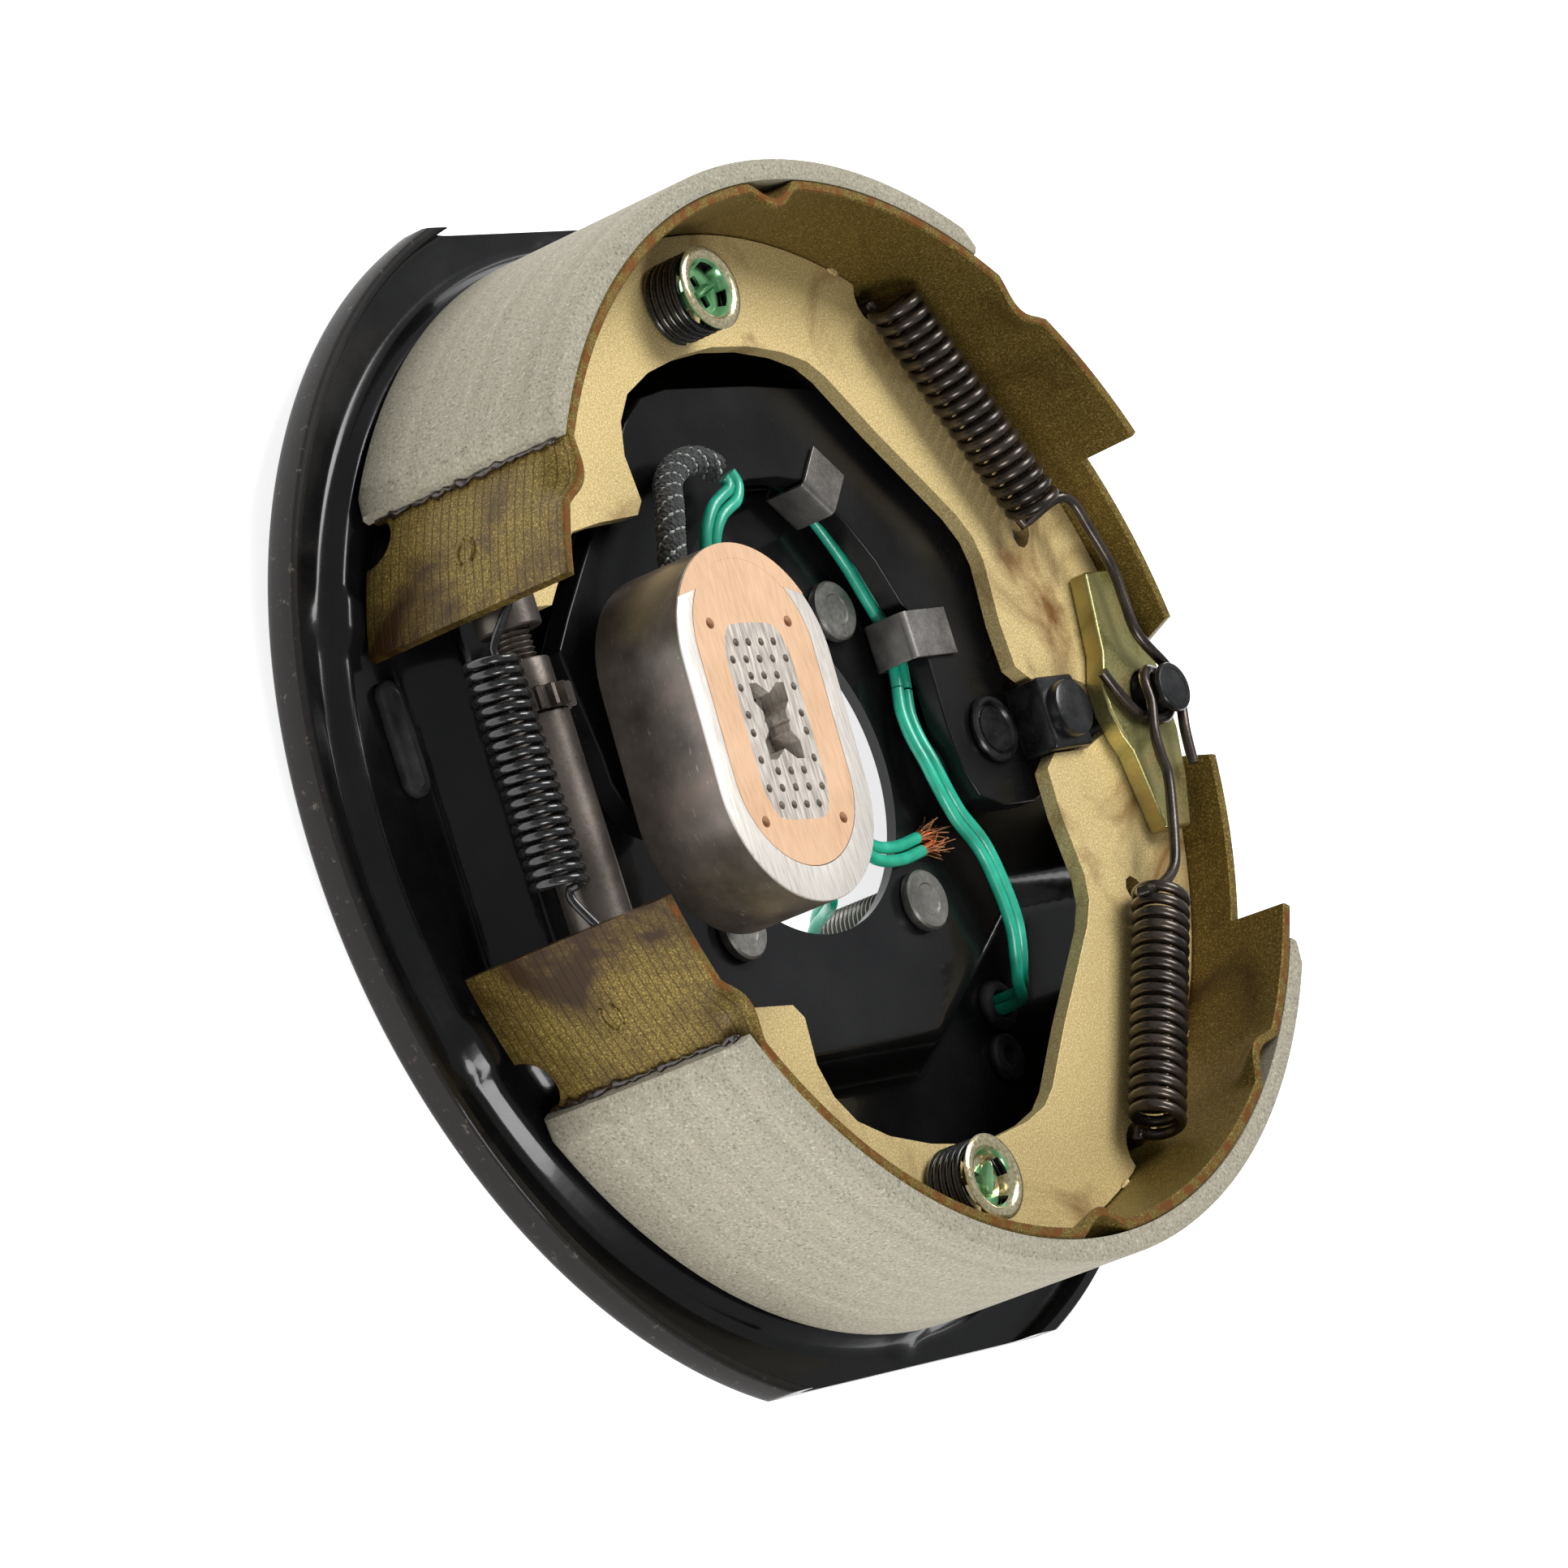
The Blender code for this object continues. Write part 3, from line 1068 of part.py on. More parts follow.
def build_leads():
    teal = material("teal_lead_insulation", (0.0, 0.30, 0.20), 0.35, 0.0)
    braid = material("braided_sleeve_yarn", (0.03, 0.035, 0.035), 0.8, 0.0)
    build_cord("braided_sleeve", SLEEVE_ROUTE, SLEEVE_TUBE_RADIUS, braid, 0.005)
    for number, side in ((1, -1), (2, 1)):
        step = side * LEAD_SPACING / 2
        build_cord(f"lever_lead_{number}", side_by_side(LEVER_ROUTE, step), LEAD_RADIUS, teal, 0.0045)
        build_cord(f"bridge_lead_{number}", side_by_side(BRIDGE_ROUTE, step), LEAD_RADIUS, teal, 0.005)
        tail = side_by_side(TAIL_ROUTE, -step, (-0.8, 0.6, 0))
        build_cord(f"tail_lead_{number}", tail, LEAD_RADIUS, teal, 0.005)


def build_wire_clip(name, centre, along, reach, leg, steel):
    """A sheet clip hooked over the lever's inner edge and round the two leads.

    It reaches past the edge by the given length, and its leg goes back under the leads.
    """
    top = LEVER_FRONT_Z + GAP
    low = CLIP_LOW_Z
    profile = [
        (-CLIP_TAB, top), (reach, top), (reach, low + CLIP_SHEET), (-leg, low + CLIP_SHEET), (-leg, low),
        (reach + CLIP_SHEET, low), (reach + CLIP_SHEET, top + CLIP_SHEET), (-CLIP_TAB, top + CLIP_SHEET),
    ]
    direction = Vector((math.cos(math.radians(along)), math.sin(math.radians(along)), 0))
    inward = Vector((direction.y, -direction.x, 0))
    if inward.dot(Vector((*centre, 0))) > 0:
        inward = -inward
    rings = []
    for end in (-CLIP_WIDTH / 2, CLIP_WIDTH / 2):
        base = Vector((*centre, 0)) + direction * end
        rings.append([base + inward * u + Vector((0, 0, z)) for u, z in profile])
    add_object(name, loft(bmesh.new(), rings), steel, PIVOT, smooth=False)


def build_wire_clips():
    steel = material("grey_clip_steel", (0.12, 0.12, 0.12), 0.4, 0.8)
    build_wire_clip("lower_wire_clip", (-0.0585, 0.0267), 46.7, 0.0012, 0.0080, steel)
    build_wire_clip("upper_wire_clip", (-0.0240, 0.0489), 0, 0.0055, 0.0035, steel)


def build_rubber_pieces():
    rubber = material("black_rubber", (0.012, 0.012, 0.012), 0.7, 0.0)
    under = LEDGE_Z - SHEET
    flange = 0.0018
    rings = []
    levels = [
        (-0.003, under - 0.002), (0.0, under - GAP), (-0.003, under - GAP),
        (-0.003, LEDGE_Z + GAP), (0.0, LEDGE_Z + GAP), (0.0, LEDGE_Z + flange),
        (-0.0012, LEDGE_Z + flange + 0.0005),
    ]
    for grow, z in levels:
        outline = stadium(SLOT_LENGTH + grow, SLOT_WIDTH + grow, 7, (SLOT_X, SLOT_Y))
        rings.append([(x, y, z) for x, y in outline])
    add_object("adjusting_slot_plug", loft(bmesh.new(), rings), rubber, (SLOT_X, SLOT_Y, LEDGE_Z))

    lip = GROMMET_RADIUS + RUBBER_LIP
    bore = LEAD_SPACING / 2 + LEAD_RADIUS + GAP
    profile = [
        (bore, under - 0.002), (lip - 0.0006, under - 0.002), (lip, under - GAP),
        (GROMMET_RADIUS, under - GAP), (GROMMET_RADIUS, LEDGE_Z + GAP),
        (lip, LEDGE_Z + GAP), (lip - 0.0006, LEDGE_Z + 0.0026),
        (bore, LEDGE_Z + 0.0026),
    ]
    bm = turned_ring(bmesh.new(), profile, 16, (GROMMET_X, GROMMET_Y))
    add_object("lead_grommet", bm, rubber, (GROMMET_X, GROMMET_Y, LEDGE_Z))

    lip = PLUG_RADIUS + RUBBER_LIP
    profile = [
        (PLUG_RADIUS - 0.001, under - 0.0022), (PLUG_RADIUS + 0.0012, under - GAP),
        (PLUG_RADIUS, under - GAP), (PLUG_RADIUS, LEDGE_Z + GAP),
        (lip, LEDGE_Z + GAP), (lip, LEDGE_Z + 0.0016),
        (lip - 0.0008, LEDGE_Z + 0.0022), (0.0022, LEDGE_Z + 0.0022), (0.0020, LEDGE_Z + 0.0008),
    ]
    bm = turned(bmesh.new(), profile, 16, (PLUG_X, PLUG_Y))
    add_object("hole_plug", bm, rubber, (PLUG_X, PLUG_Y, LEDGE_Z))


def main():
    clear_scene()
    build_backing_plate()
    build_studs()
    build_anchor_post()
    build_guide_plate()
    build_tables()
    build_webs()
    build_lining("secondary_lining", -58, 58, False)
    build_lining("primary_lining", -56.5, 33, True)
    for side, label in ((-1, "primary"), (1, "secondary")):
        build_hold_down(side, label)
    build_return_springs()
    build_adjuster()
    build_adjuster_spring()
    build_lever()
    build_lever_pivot()
    build_block()
    build_magnet()
    build_magnet_mount()
    build_leads()
    build_wire_clips()
    build_rubber_pieces()


main()
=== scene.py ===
"""Looks of the trailer drum brake: every piece in its real finish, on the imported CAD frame."""

import math
import random

import bmesh
import bpy
from mathutils import Matrix, Vector


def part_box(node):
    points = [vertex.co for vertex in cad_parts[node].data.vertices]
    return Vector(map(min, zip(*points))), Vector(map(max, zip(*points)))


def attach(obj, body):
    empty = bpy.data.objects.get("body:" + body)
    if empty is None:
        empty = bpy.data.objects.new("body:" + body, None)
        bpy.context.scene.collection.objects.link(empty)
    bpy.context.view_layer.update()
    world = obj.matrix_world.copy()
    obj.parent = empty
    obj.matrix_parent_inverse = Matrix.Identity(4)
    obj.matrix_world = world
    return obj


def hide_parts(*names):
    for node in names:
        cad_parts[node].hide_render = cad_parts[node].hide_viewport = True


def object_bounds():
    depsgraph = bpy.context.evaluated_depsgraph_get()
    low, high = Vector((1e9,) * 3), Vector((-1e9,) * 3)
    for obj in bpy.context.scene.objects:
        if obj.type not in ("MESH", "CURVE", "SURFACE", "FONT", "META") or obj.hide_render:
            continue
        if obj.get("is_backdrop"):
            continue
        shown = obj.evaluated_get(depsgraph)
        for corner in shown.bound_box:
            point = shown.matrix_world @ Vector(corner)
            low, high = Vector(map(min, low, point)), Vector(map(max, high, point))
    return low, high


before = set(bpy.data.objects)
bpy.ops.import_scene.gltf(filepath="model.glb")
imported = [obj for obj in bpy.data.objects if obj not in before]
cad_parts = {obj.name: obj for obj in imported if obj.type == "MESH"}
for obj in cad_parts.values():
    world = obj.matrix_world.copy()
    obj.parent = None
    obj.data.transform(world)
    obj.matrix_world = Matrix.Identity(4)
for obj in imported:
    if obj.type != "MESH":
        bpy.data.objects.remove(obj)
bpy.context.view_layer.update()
chance = random.Random(7)


# STUDIO
# A sheet of pale paper under the brake, which stands on its four stud ends, in the light of two
# large soft boxes. The long lens looks from below the adjuster, rolled as the photograph is.
PHOTO_SIZE = 1932
FOCAL_PIXELS = 10000
SENSOR = 36
FLOOR_Z = -0.0254


def linear(colour):
    """An sRGB hex colour as linear red, green, blue and alpha."""
    parts = [int(colour[i:i + 2], 16) / 255 for i in (1, 3, 5)]
    return (*[p / 12.92 if p <= 0.04045 else ((p + 0.055) / 1.055) ** 2.4 for p in parts], 1)


def add_node(finish, kind, inputs=None, stops=None, **settings):
    """Add a node to a material, with its properties, its values or links, and its ramp's stops."""
    made = finish.node_tree.nodes.new("ShaderNode" + kind)
    for name, value in settings.items():
        setattr(made, name, value)
    for name, value in (inputs or {}).items():
        socket = made.inputs[name]
        if isinstance(value, bpy.types.NodeSocket):
            finish.node_tree.links.new(value, socket)
        else:
            socket.default_value = linear(value) if isinstance(value, str) else value
    for number, (place, value) in enumerate(stops or ()):
        if number > 1:
            made.color_ramp.elements.new(place)
        stop = made.color_ramp.elements[number]
        stop.position = place
        stop.color = linear(value) if isinstance(value, str) else (value, value, value, 1)
    return made


def start_finish(name, **values):
    """A new material with its shader's own values; colours are sRGB hex."""
    finish = bpy.data.materials.new(name)
    finish.use_nodes = True
    shader = finish.node_tree.nodes["Principled BSDF"]
    for socket, value in values.items():
        socket = shader.inputs[socket.replace("_", " ")]
        socket.default_value = linear(value) if isinstance(value, str) else value
    return finish, shader


def feed(finish, shader, **links):
    """Link node outputs to the shader's sockets."""
    for name, output in links.items():
        finish.node_tree.links.new(output, shader.inputs[name.replace("_", " ")])


def ramp(finish, value, stops):
    """Colours or shares along a value."""
    return add_node(finish, "ValToRGB", {"Fac": value}, stops).outputs["Color"]


lens = bpy.data.cameras.new("long_lens")
lens.sensor_width = SENSOR
lens.lens = SENSOR * FOCAL_PIXELS / PHOTO_SIZE
camera = bpy.data.objects.new("long_lens", lens)
bpy.context.scene.collection.objects.link(camera)
camera.matrix_world = Matrix((
    (0.3002, -0.9455, 0.1258, 0.2279),
    (0.5914, 0.0810, -0.8023, -1.4339),
    (0.7484, 0.3153, 0.5835, 1.0449),
    (0, 0, 0, 1),
))
bpy.context.scene.camera = camera
bpy.context.scene.view_settings.view_transform = "Standard"

# White lit paper: it glows so that it stays pure white and takes only a breath of contact shadow.
paper, paper_shader = start_finish("white_lit_paper", Roughness=0.9, Emission_Strength=0.85)
fibre = add_node(paper, "TexNoise", {"Scale": 60.0, "Detail": 4.0})
tone = ramp(paper, fibre.outputs["Fac"], [(0.0, "#f4f4f4"), (1.0, "#fbfbfb")])
feed(paper, paper_shader, Base_Color=tone, Emission_Color=tone)
half_sheet = 4.0
sheet_mesh = bpy.data.meshes.new("paper_sheet")
sheet_mesh.from_pydata(
    [(-half_sheet, -half_sheet, FLOOR_Z), (half_sheet, -half_sheet, FLOOR_Z),
     (half_sheet, half_sheet, FLOOR_Z), (-half_sheet, half_sheet, FLOOR_Z)],
    [], [(0, 1, 2, 3)])
sheet_mesh.materials.append(paper)
paper_sheet = bpy.data.objects.new("paper_sheet", sheet_mesh)
bpy.context.scene.collection.objects.link(paper_sheet)
paper_sheet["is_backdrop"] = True

world = bpy.data.worlds.new("white_room")
world.use_nodes = True
world.node_tree.nodes["Background"].inputs["Color"].default_value = linear("#f2f4f7")
world.node_tree.nodes["Background"].inputs["Strength"].default_value = 0.42
bpy.context.scene.world = world


def hang_light(name, place, size, power):
    """A square soft box that faces the brake."""
    lamp = bpy.data.lights.new(name, "AREA")
    lamp.size = size
    lamp.energy = power
    hung = bpy.data.objects.new(name, lamp)
    hung.location = place
    hung.rotation_mode = "QUATERNION"
    hung.rotation_quaternion = (-Vector(place)).to_track_quat("-Z", "Y")
    bpy.context.scene.collection.objects.link(hung)


hang_light("key_box", (-0.9, 0.5, 1.5), 0.9, 34)
hang_light("side_box", (1.1, -0.9, 0.9), 0.6, 16)


# LEADS AND BRAIDED SLEEVE
# Two stranded copper leads in teal plastic run from the magnet through a braided sleeve, over and
# under the lever, along its edge and through the grommet; their free tails come back through the
# bore with bare ends. Each lead is a curve through listed points; the braid is woven yarns.
GAP = 0.0003
LEAD_RADIUS = 0.0014
LEAD_SPACING = 0.0031
BRAID_RADIUS = 0.0033
BRAID_PITCH = 0.014
CARRIERS = 12
WEAVE_STEP = 0.00035
TAIL_ROUTE = [
    (0.0583, 0.0674, -0.0100), (0.0583, 0.0674, -0.0145), (0.0577, 0.0650, -0.0190),
    (0.0550, 0.0570, -0.0210), (0.0520, 0.0430, -0.0205), (0.0480, 0.0300, -0.0200),
    (0.0420, 0.0180, -0.0170), (0.0340, 0.0110, -0.0100), (0.0310, 0.0060, -0.0020),
    (0.0300, -0.0010, 0.0060), (0.0255, -0.0050, 0.0105), (0.0200, -0.0020, 0.0120),
    (0.0195, 0.0080, 0.0098), (0.0225, 0.0190, 0.0070), (0.0228, 0.0290, 0.0055),
    (0.0215, 0.0380, 0.0050),
]
LEVER_ROUTE = [
    (-0.0629, -0.0131, 0.0221), (-0.0607, -0.0122, 0.0223), (-0.0582, -0.0138, 0.0224),
    (-0.0566, -0.0172, 0.0222), (-0.0545, -0.0205, 0.0216), (-0.0500, -0.0235, 0.0206),
    (-0.0440, -0.0246, 0.0192), (-0.0390, -0.0250, 0.0178), (-0.0315, -0.0265, 0.0135),
    (-0.0272, -0.0312, 0.0097),
    (-0.0300, -0.0362, 0.0077), (-0.0375, -0.0385, 0.0077), (-0.0460, -0.0370, 0.0077),
    (-0.0570, -0.0290, 0.0076), (-0.0680, -0.0170, 0.0073), (-0.0720, 0.0000, 0.0070),
    (-0.0705, 0.0150, 0.0073), (-0.0655, 0.0255, 0.0075), (-0.0580, 0.0330, 0.0076),
    (-0.0470, 0.0401, 0.0076), (-0.0375, 0.0444, 0.0076), (-0.0295, 0.0474, 0.0076),
    (-0.0210, 0.0477, 0.0076), (-0.0140, 0.0464, 0.0076),
]
BRIDGE_ROUTE = [
    (-0.0135, 0.0462, 0.0076), (-0.0080, 0.0446, 0.0078), (-0.0020, 0.0436, 0.0090),
    (0.0040, 0.0436, 0.0105), (0.0110, 0.0449, 0.0110), (0.0175, 0.0482, 0.0105),
    (0.0250, 0.0540, 0.0100), (0.0340, 0.0570, 0.0095), (0.0430, 0.0590, 0.0085),
    (0.0500, 0.0605, 0.0060), (0.0550, 0.0625, 0.0030), (0.0577, 0.0658, 0.0000),
    (0.0583, 0.0674, -0.0045), (0.0583, 0.0674, -0.0097),
]
SLEEVE_ROUTE = [
    (-0.0403, -0.0510, 0.0282), (-0.0458, -0.0490, 0.0282), (-0.0550, -0.0430, 0.0265),
    (-0.0625, -0.0350, 0.0225), (-0.0665, -0.0270, 0.0214), (-0.0668, -0.0204, 0.0214),
    (-0.0645, -0.0160, 0.0218),
]


def polar(radius, degrees, centre=(0, 0)):
    """A point of a circle."""
    angle = math.radians(degrees)
    return (centre[0] + radius * math.cos(angle), centre[1] + radius * math.sin(angle))


def loft(bm, rings, closed=False, caps=True):
    """Skin equal rings of points; end rings are capped unless the skin closes on itself."""
    made = [[bm.verts.new(point) for point in ring] for ring in rings]
    count = len(made[0])
    for k in range(0 if closed else 1, len(made)):
        low, high = made[k - 1], made[k]
        for i in range(count):
            bm.faces.new((low[i - 1], low[i], high[i], high[i - 1]))
    if caps and not closed:
        bm.faces.new(list(reversed(made[0])))
        bm.faces.new(made[-1])
    return bm


def carried_frames(path):
    """Each point of a path with its heading and a sideways direction that is carried along untwisted."""
    heading = (path[1] - path[0]).normalized()
    across = heading.orthogonal().normalized()
    for k, point in enumerate(path):
        turned_to = (path[min(k + 1, len(path) - 1)] - path[max(k - 1, 0)]).normalized()
        across.rotate(heading.rotation_difference(turned_to))
        heading = turned_to
        yield point, heading, across.copy()


def tube(path, radii, sides, bm=None, flat=None):
    """A round skin along a path; with flat, the section is pressed along the given directions."""
    rings = []
    for k, (point, heading, wide) in enumerate(carried_frames([Vector(p) for p in path])):
        thick = heading.cross(wide)
        if flat:
            thick = flat[k] * 0.5
            wide = heading.cross(flat[k]).normalized()
        radius = radii[k] if isinstance(radii, list) else radii
        ring = []
        for i in range(sides):
            angle = 2 * math.pi * i / sides
            ring.append(point + (wide * math.cos(angle) + thick * math.sin(angle)) * radius)
        rings.append(ring)
    return loft(bm or bmesh.new(), rings)


def finish_piece(name, bm, finish, body, *nodes, bevel=0.0, angle=35, slot=None):
    """Turn a mesh into a piece that rides on a body and stands for its CAD nodes."""
    bmesh.ops.remove_doubles(bm, verts=bm.verts, dist=1e-7)
    bmesh.ops.recalc_face_normals(bm, faces=bm.faces)
    mesh = bpy.data.meshes.new(name)
    bm.to_mesh(mesh)
    bm.free()
    mesh.materials.append(finish)
    mesh.shade_smooth()
    mesh.set_sharp_from_angle(angle=math.radians(angle))
    piece = bpy.data.objects.new(name, mesh)
    bpy.context.scene.collection.objects.link(piece)
    if bevel:
        rounding = piece.modifiers.new("rounded_edges", "BEVEL")
        rounding.width = bevel
        rounding.segments = 2
        rounding.limit_method = "ANGLE"
        rounding.angle_limit = math.radians(angle)
        rounding.harden_normals = True
    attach(piece, body)
    if nodes:
        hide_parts(*nodes)
    return piece


def smooth_path(points, spacing):
    """Evenly spaced points on a smooth curve through given points."""
    points = [Vector(p) for p in points]
    guides = [2 * points[0] - points[1], *points, 2 * points[-1] - points[-2]]
    fine = []
    for k in range(1, len(guides) - 2):
        a, b, c, d = guides[k - 1:k + 3]
        for i in range(20):
            t = i / 20
            fine.append(0.5 * ((2 * b) + (c - a) * t + (2 * a - 5 * b + 4 * c - d) * t * t
                               + (3 * b - 3 * c + d - a) * t ** 3))
    fine.append(points[-1])
    lengths = [0.0]
    for k in range(1, len(fine)):
        lengths.append(lengths[-1] + (fine[k] - fine[k - 1]).length)
    count = max(2, round(lengths[-1] / spacing))
    even = []
    k = 1
    for i in range(count + 1):
        target = lengths[-1] * i / count
        while k < len(fine) - 1 and lengths[k] < target:
            k += 1
        span = lengths[k] - lengths[k - 1]
        even.append(fine[k - 1].lerp(fine[k], (target - lengths[k - 1]) / span))
    return even


def side_by_side(points, offset, upright=(0.8, -0.6, 0)):
    """Shift a route sideways; where it stands upright, the given direction is used."""
    points = [Vector(p) for p in points]
    shifted = []
    for k, point in enumerate(points):
        run = points[min(k + 1, len(points) - 1)] - points[max(k - 1, 0)]
        across = run.cross(Vector((0, 0, 1)))
        level = across.length > 0.45 * run.length
        shifted.append(point + (across.normalized() if level else Vector(upright)) * offset)
    return shifted


def noise(finish, place, scale, detail, roughness=0.5, distortion=0.0):
    """Cloudy noise, so many waves to a metre."""
    return add_node(finish, "TexNoise", {
        "Vector": place, "Scale": scale, "Detail": detail, "Roughness": roughness,
        "Distortion": distortion}).outputs["Fac"]


def bumps(finish, height, strength, distance):
    """Fine relief; the distance is its full height in metres."""
    return add_node(finish, "Bump", {
        "Height": height, "Strength": strength, "Distance": distance}).outputs["Normal"]


def surface(finish):
    """Place on the piece, in metres."""
    return add_node(finish, "TexCoord").outputs["Object"]


def cloudy_and_grained(name, cloud, grain, tones, glosses, relief=None, **values):
    """A finish with its tone from a cloud noise, and its gloss and relief from a finer grain."""
    finish, shader = start_finish(name, **values)
    place = surface(finish)
    clouds = noise(finish, place, *cloud)
    grains = noise(finish, place, *grain)
    feed(finish, shader, Base_Color=ramp(finish, clouds, tones), Roughness=ramp(finish, grains, glosses))
    if relief:
        feed(finish, shader, Normal=bumps(finish, grains, *relief))
    return finish


# Teal plastic insulation: smooth and glossy, slightly waxy, with dirt in faint clouds 6 mm across.
teal_plastic, shader = start_finish("teal_plastic_insulation", Coat_Weight=0.2, Subsurface_Weight=0.05)
place = surface(teal_plastic)
clouds = noise(teal_plastic, place, 160.0, 4.0)
grain = noise(teal_plastic, place, 1500.0, 3.0)
tone = ramp(teal_plastic, clouds, [(0.3, "#128a6e"), (0.6, "#1fa98a"), (0.8, "#43bea0")])
gloss = ramp(teal_plastic, grain, [(0.3, 0.28), (0.8, 0.45)])
relief = bumps(teal_plastic, clouds, 0.12, 0.0004)
feed(teal_plastic, shader, Base_Color=tone, Roughness=gloss, Normal=relief)

# Bare copper strand: bright orange brown with darker, slightly tarnished runs.
copper_strand = cloudy_and_grained(
    "bare_copper_strand", (500.0, 4.0), (500.0, 4.0), [(0.3, "#cf7c4a"), (0.7, "#ffc093")],
    [(0.3, 0.22), (0.8, 0.4)], Metallic=1.0)


def lead(name, path, body, node):
    """One insulated lead: a bevelled curve with filled caps along its path."""
    curve = bpy.data.curves.new(name, "CURVE")
    curve.dimensions = "3D"
    curve.bevel_depth = LEAD_RADIUS
    curve.bevel_resolution = 5
    curve.use_fill_caps = True
    spline = curve.splines.new("POLY")
    spline.points.add(len(path) - 1)
    for point, spot in zip(spline.points, path):
        point.co = (*spot, 1)
    spline.use_smooth = True
    curve.materials.append(teal_plastic)
    piece = bpy.data.objects.new(name, curve)
    bpy.context.scene.collection.objects.link(piece)
    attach(piece, body)
    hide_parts(node)
    return piece


def bare_strands(name, path, count=44):
    """The stripped end of a lead: a bush of fine wires that fan out and curl at their ends."""
    end = path[-1]
    heading = (path[-1] - path[-4]).normalized()
    across = heading.orthogonal().normalized()
    up = heading.cross(across)
    bm = bmesh.new()
    for i in range(count):
        share = math.sqrt((i + 0.5) / count)
        turn = math.radians(137.5 * i)
        out = across * math.cos(turn) + up * math.sin(turn)
        reach = chance.uniform(0.0058, 0.0096)
        fan = chance.uniform(0.0010, 0.0042) * share
        sway = Vector((chance.uniform(-1, 1), chance.uniform(-1, 1), chance.uniform(-1, 1))) * 0.0009
        points = []
        for k in range(8):
            s = k / 7
            spread = LEAD_RADIUS * 0.7 * share + fan * s * s
            points.append(end + heading * (reach * s - 0.0004) + out * spread
                          + sway * math.sin(math.pi * 1.3 * s) * s)
        tube(points, 0.00015, 5, bm)
    return finish_piece(name, bm, copper_strand, "backing", slot="copper")


for number, side in ((1, -1), (2, 1)):
    step = side * LEAD_SPACING / 2
    path = smooth_path(side_by_side(TAIL_ROUTE, -step, (-0.8, 0.6, 0)), 0.0014)
    tail = lead(f"tail_cord_{number}", path, "backing", f"tail_lead_{number}")
    strands = bare_strands(f"tail_strands_{number}", path)
    run = sum((path[k] - path[k - 1]).length for k in range(1, len(path)))
    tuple(path[0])
    lead(f"lever_wire_{number}", smooth_path(side_by_side(LEVER_ROUTE, step), 0.0012), "lever",
         f"lever_lead_{number}")
    lead(f"bridge_wire_{number}", smooth_path(side_by_side(BRIDGE_ROUTE, step), 0.0012), "backing",
         f"bridge_lead_{number}")


def yarn(name, dark, light):
    """Braid yarn: dull thread with a fine lay of fibres across it."""
    finish, shader = start_finish(name, Sheen_Weight=0.3)
    place = surface(finish)
    fibres = noise(finish, place, 3500.0, 5.0)
    tone = ramp(finish, fibres, [(0.35, dark), (0.7, light)])
    dull = ramp(finish, fibres, [(0.3, 0.6), (0.8, 0.85)])
    relief = bumps(finish, fibres, 0.4, 0.0002)
    feed(finish, shader, Base_Color=tone, Roughness=dull, Normal=relief)
    return finish


# Cotton and glass thread: black for the most part, with thin off-white flecks.
black_yarn = yarn("black_braid_yarn", "#070808", "#1c201f")
white_yarn = yarn("off_white_braid_yarn", "#7d8780", "#c6cdc6")
centre_line = smooth_path(SLEEVE_ROUTE, WEAVE_STEP)
tube_bm = tube(centre_line[2:-2:4], BRAID_RADIUS - 0.0008, 16)
finish_piece("sleeved_lead_pair", tube_bm, teal_plastic, "lever", slot="teal_insulation")
for colour, colour_name, half_width in ((black_yarn, "black", 0.00052), (white_yarn, "white", 0.00026)):
    bm = bmesh.new()
    for direction in (-1, 1):
        for carrier in range(CARRIERS):
            is_white = carrier % 4 == (0 if direction > 0 else 2)
            if is_white != (colour is white_yarn):
                continue
            points, outward = [], []
            for k, (point, heading, across) in enumerate(carried_frames(centre_line)):
                wound = direction * 2 * math.pi * WEAVE_STEP * k / BRAID_PITCH
                turn = wound + 2 * math.pi * carrier / CARRIERS
                over = math.sin(CARRIERS * wound + direction * math.pi / 2 + math.pi * carrier)
                out = across * math.cos(turn) + heading.cross(across) * math.sin(turn)
                points.append(point + out * (BRAID_RADIUS - 0.00042 + 0.00022 * over))
                outward.append(out)
            tube(points, half_width, 8, bm, flat=outward)
    nodes = ["braided_sleeve"] if colour is black_yarn else []
    finish_piece(f"{colour_name}_braid_yarns", bm, colour, "lever", *nodes, slot="braid")


# BACKING PLATE
# One sheet of 3 mm low-carbon steel, blanked and deep drawn: a raised centre for the axle flange,
# a ledge for the shoes' edges with six raised pads, a rim round the drum and two flats at the sides.
# It is dipped in black gloss paint, which is thin and brownish where the rim was trimmed.
SHEET = 0.003
BORE_RADIUS = 0.038
RIM_RADIUS = 0.1424
RIM_HEIGHT = 0.006
PLATE_FLOOR_Z = -0.014
LEDGE_Z = -0.0095
LEDGE_RADIUS = 0.125
STEP_WIDTH = 0.004
PRESS_SLOPE = 0.009
RAISED_HALF_WIDTH = 0.063
RAISED_TOP_Y = 0.068
RAISED_BOTTOM_Y = -0.096
RAISED_RADIUS = 0.1085
SHOULDER_Y = 0.028
SHOULDER_RUN = 0.027
TONGUE_HALF_WIDTH = 0.030
TONGUE_TOP_Y = 0.122
PAD_ANGLES = (-67.5, 0, 52.5, 127.5, 180, 247.5)
PAD_PLACE = 0.124
PAD_RADIUS = 0.008
PAD_HEIGHT = 0.0016
PIVOT = (0, 0.0635)
BOSS_RADIUS = 0.0175
BOSS_HEIGHT = 0.0009
RIM_BEND = 0.002
FLAT_X = 0.133


def eased(share):
    """0 to 1 with soft ends, as sheet metal bends over a tool's radius."""
    share = min(max(share, 0), 1)
    return share * share * (3 - 2 * share)


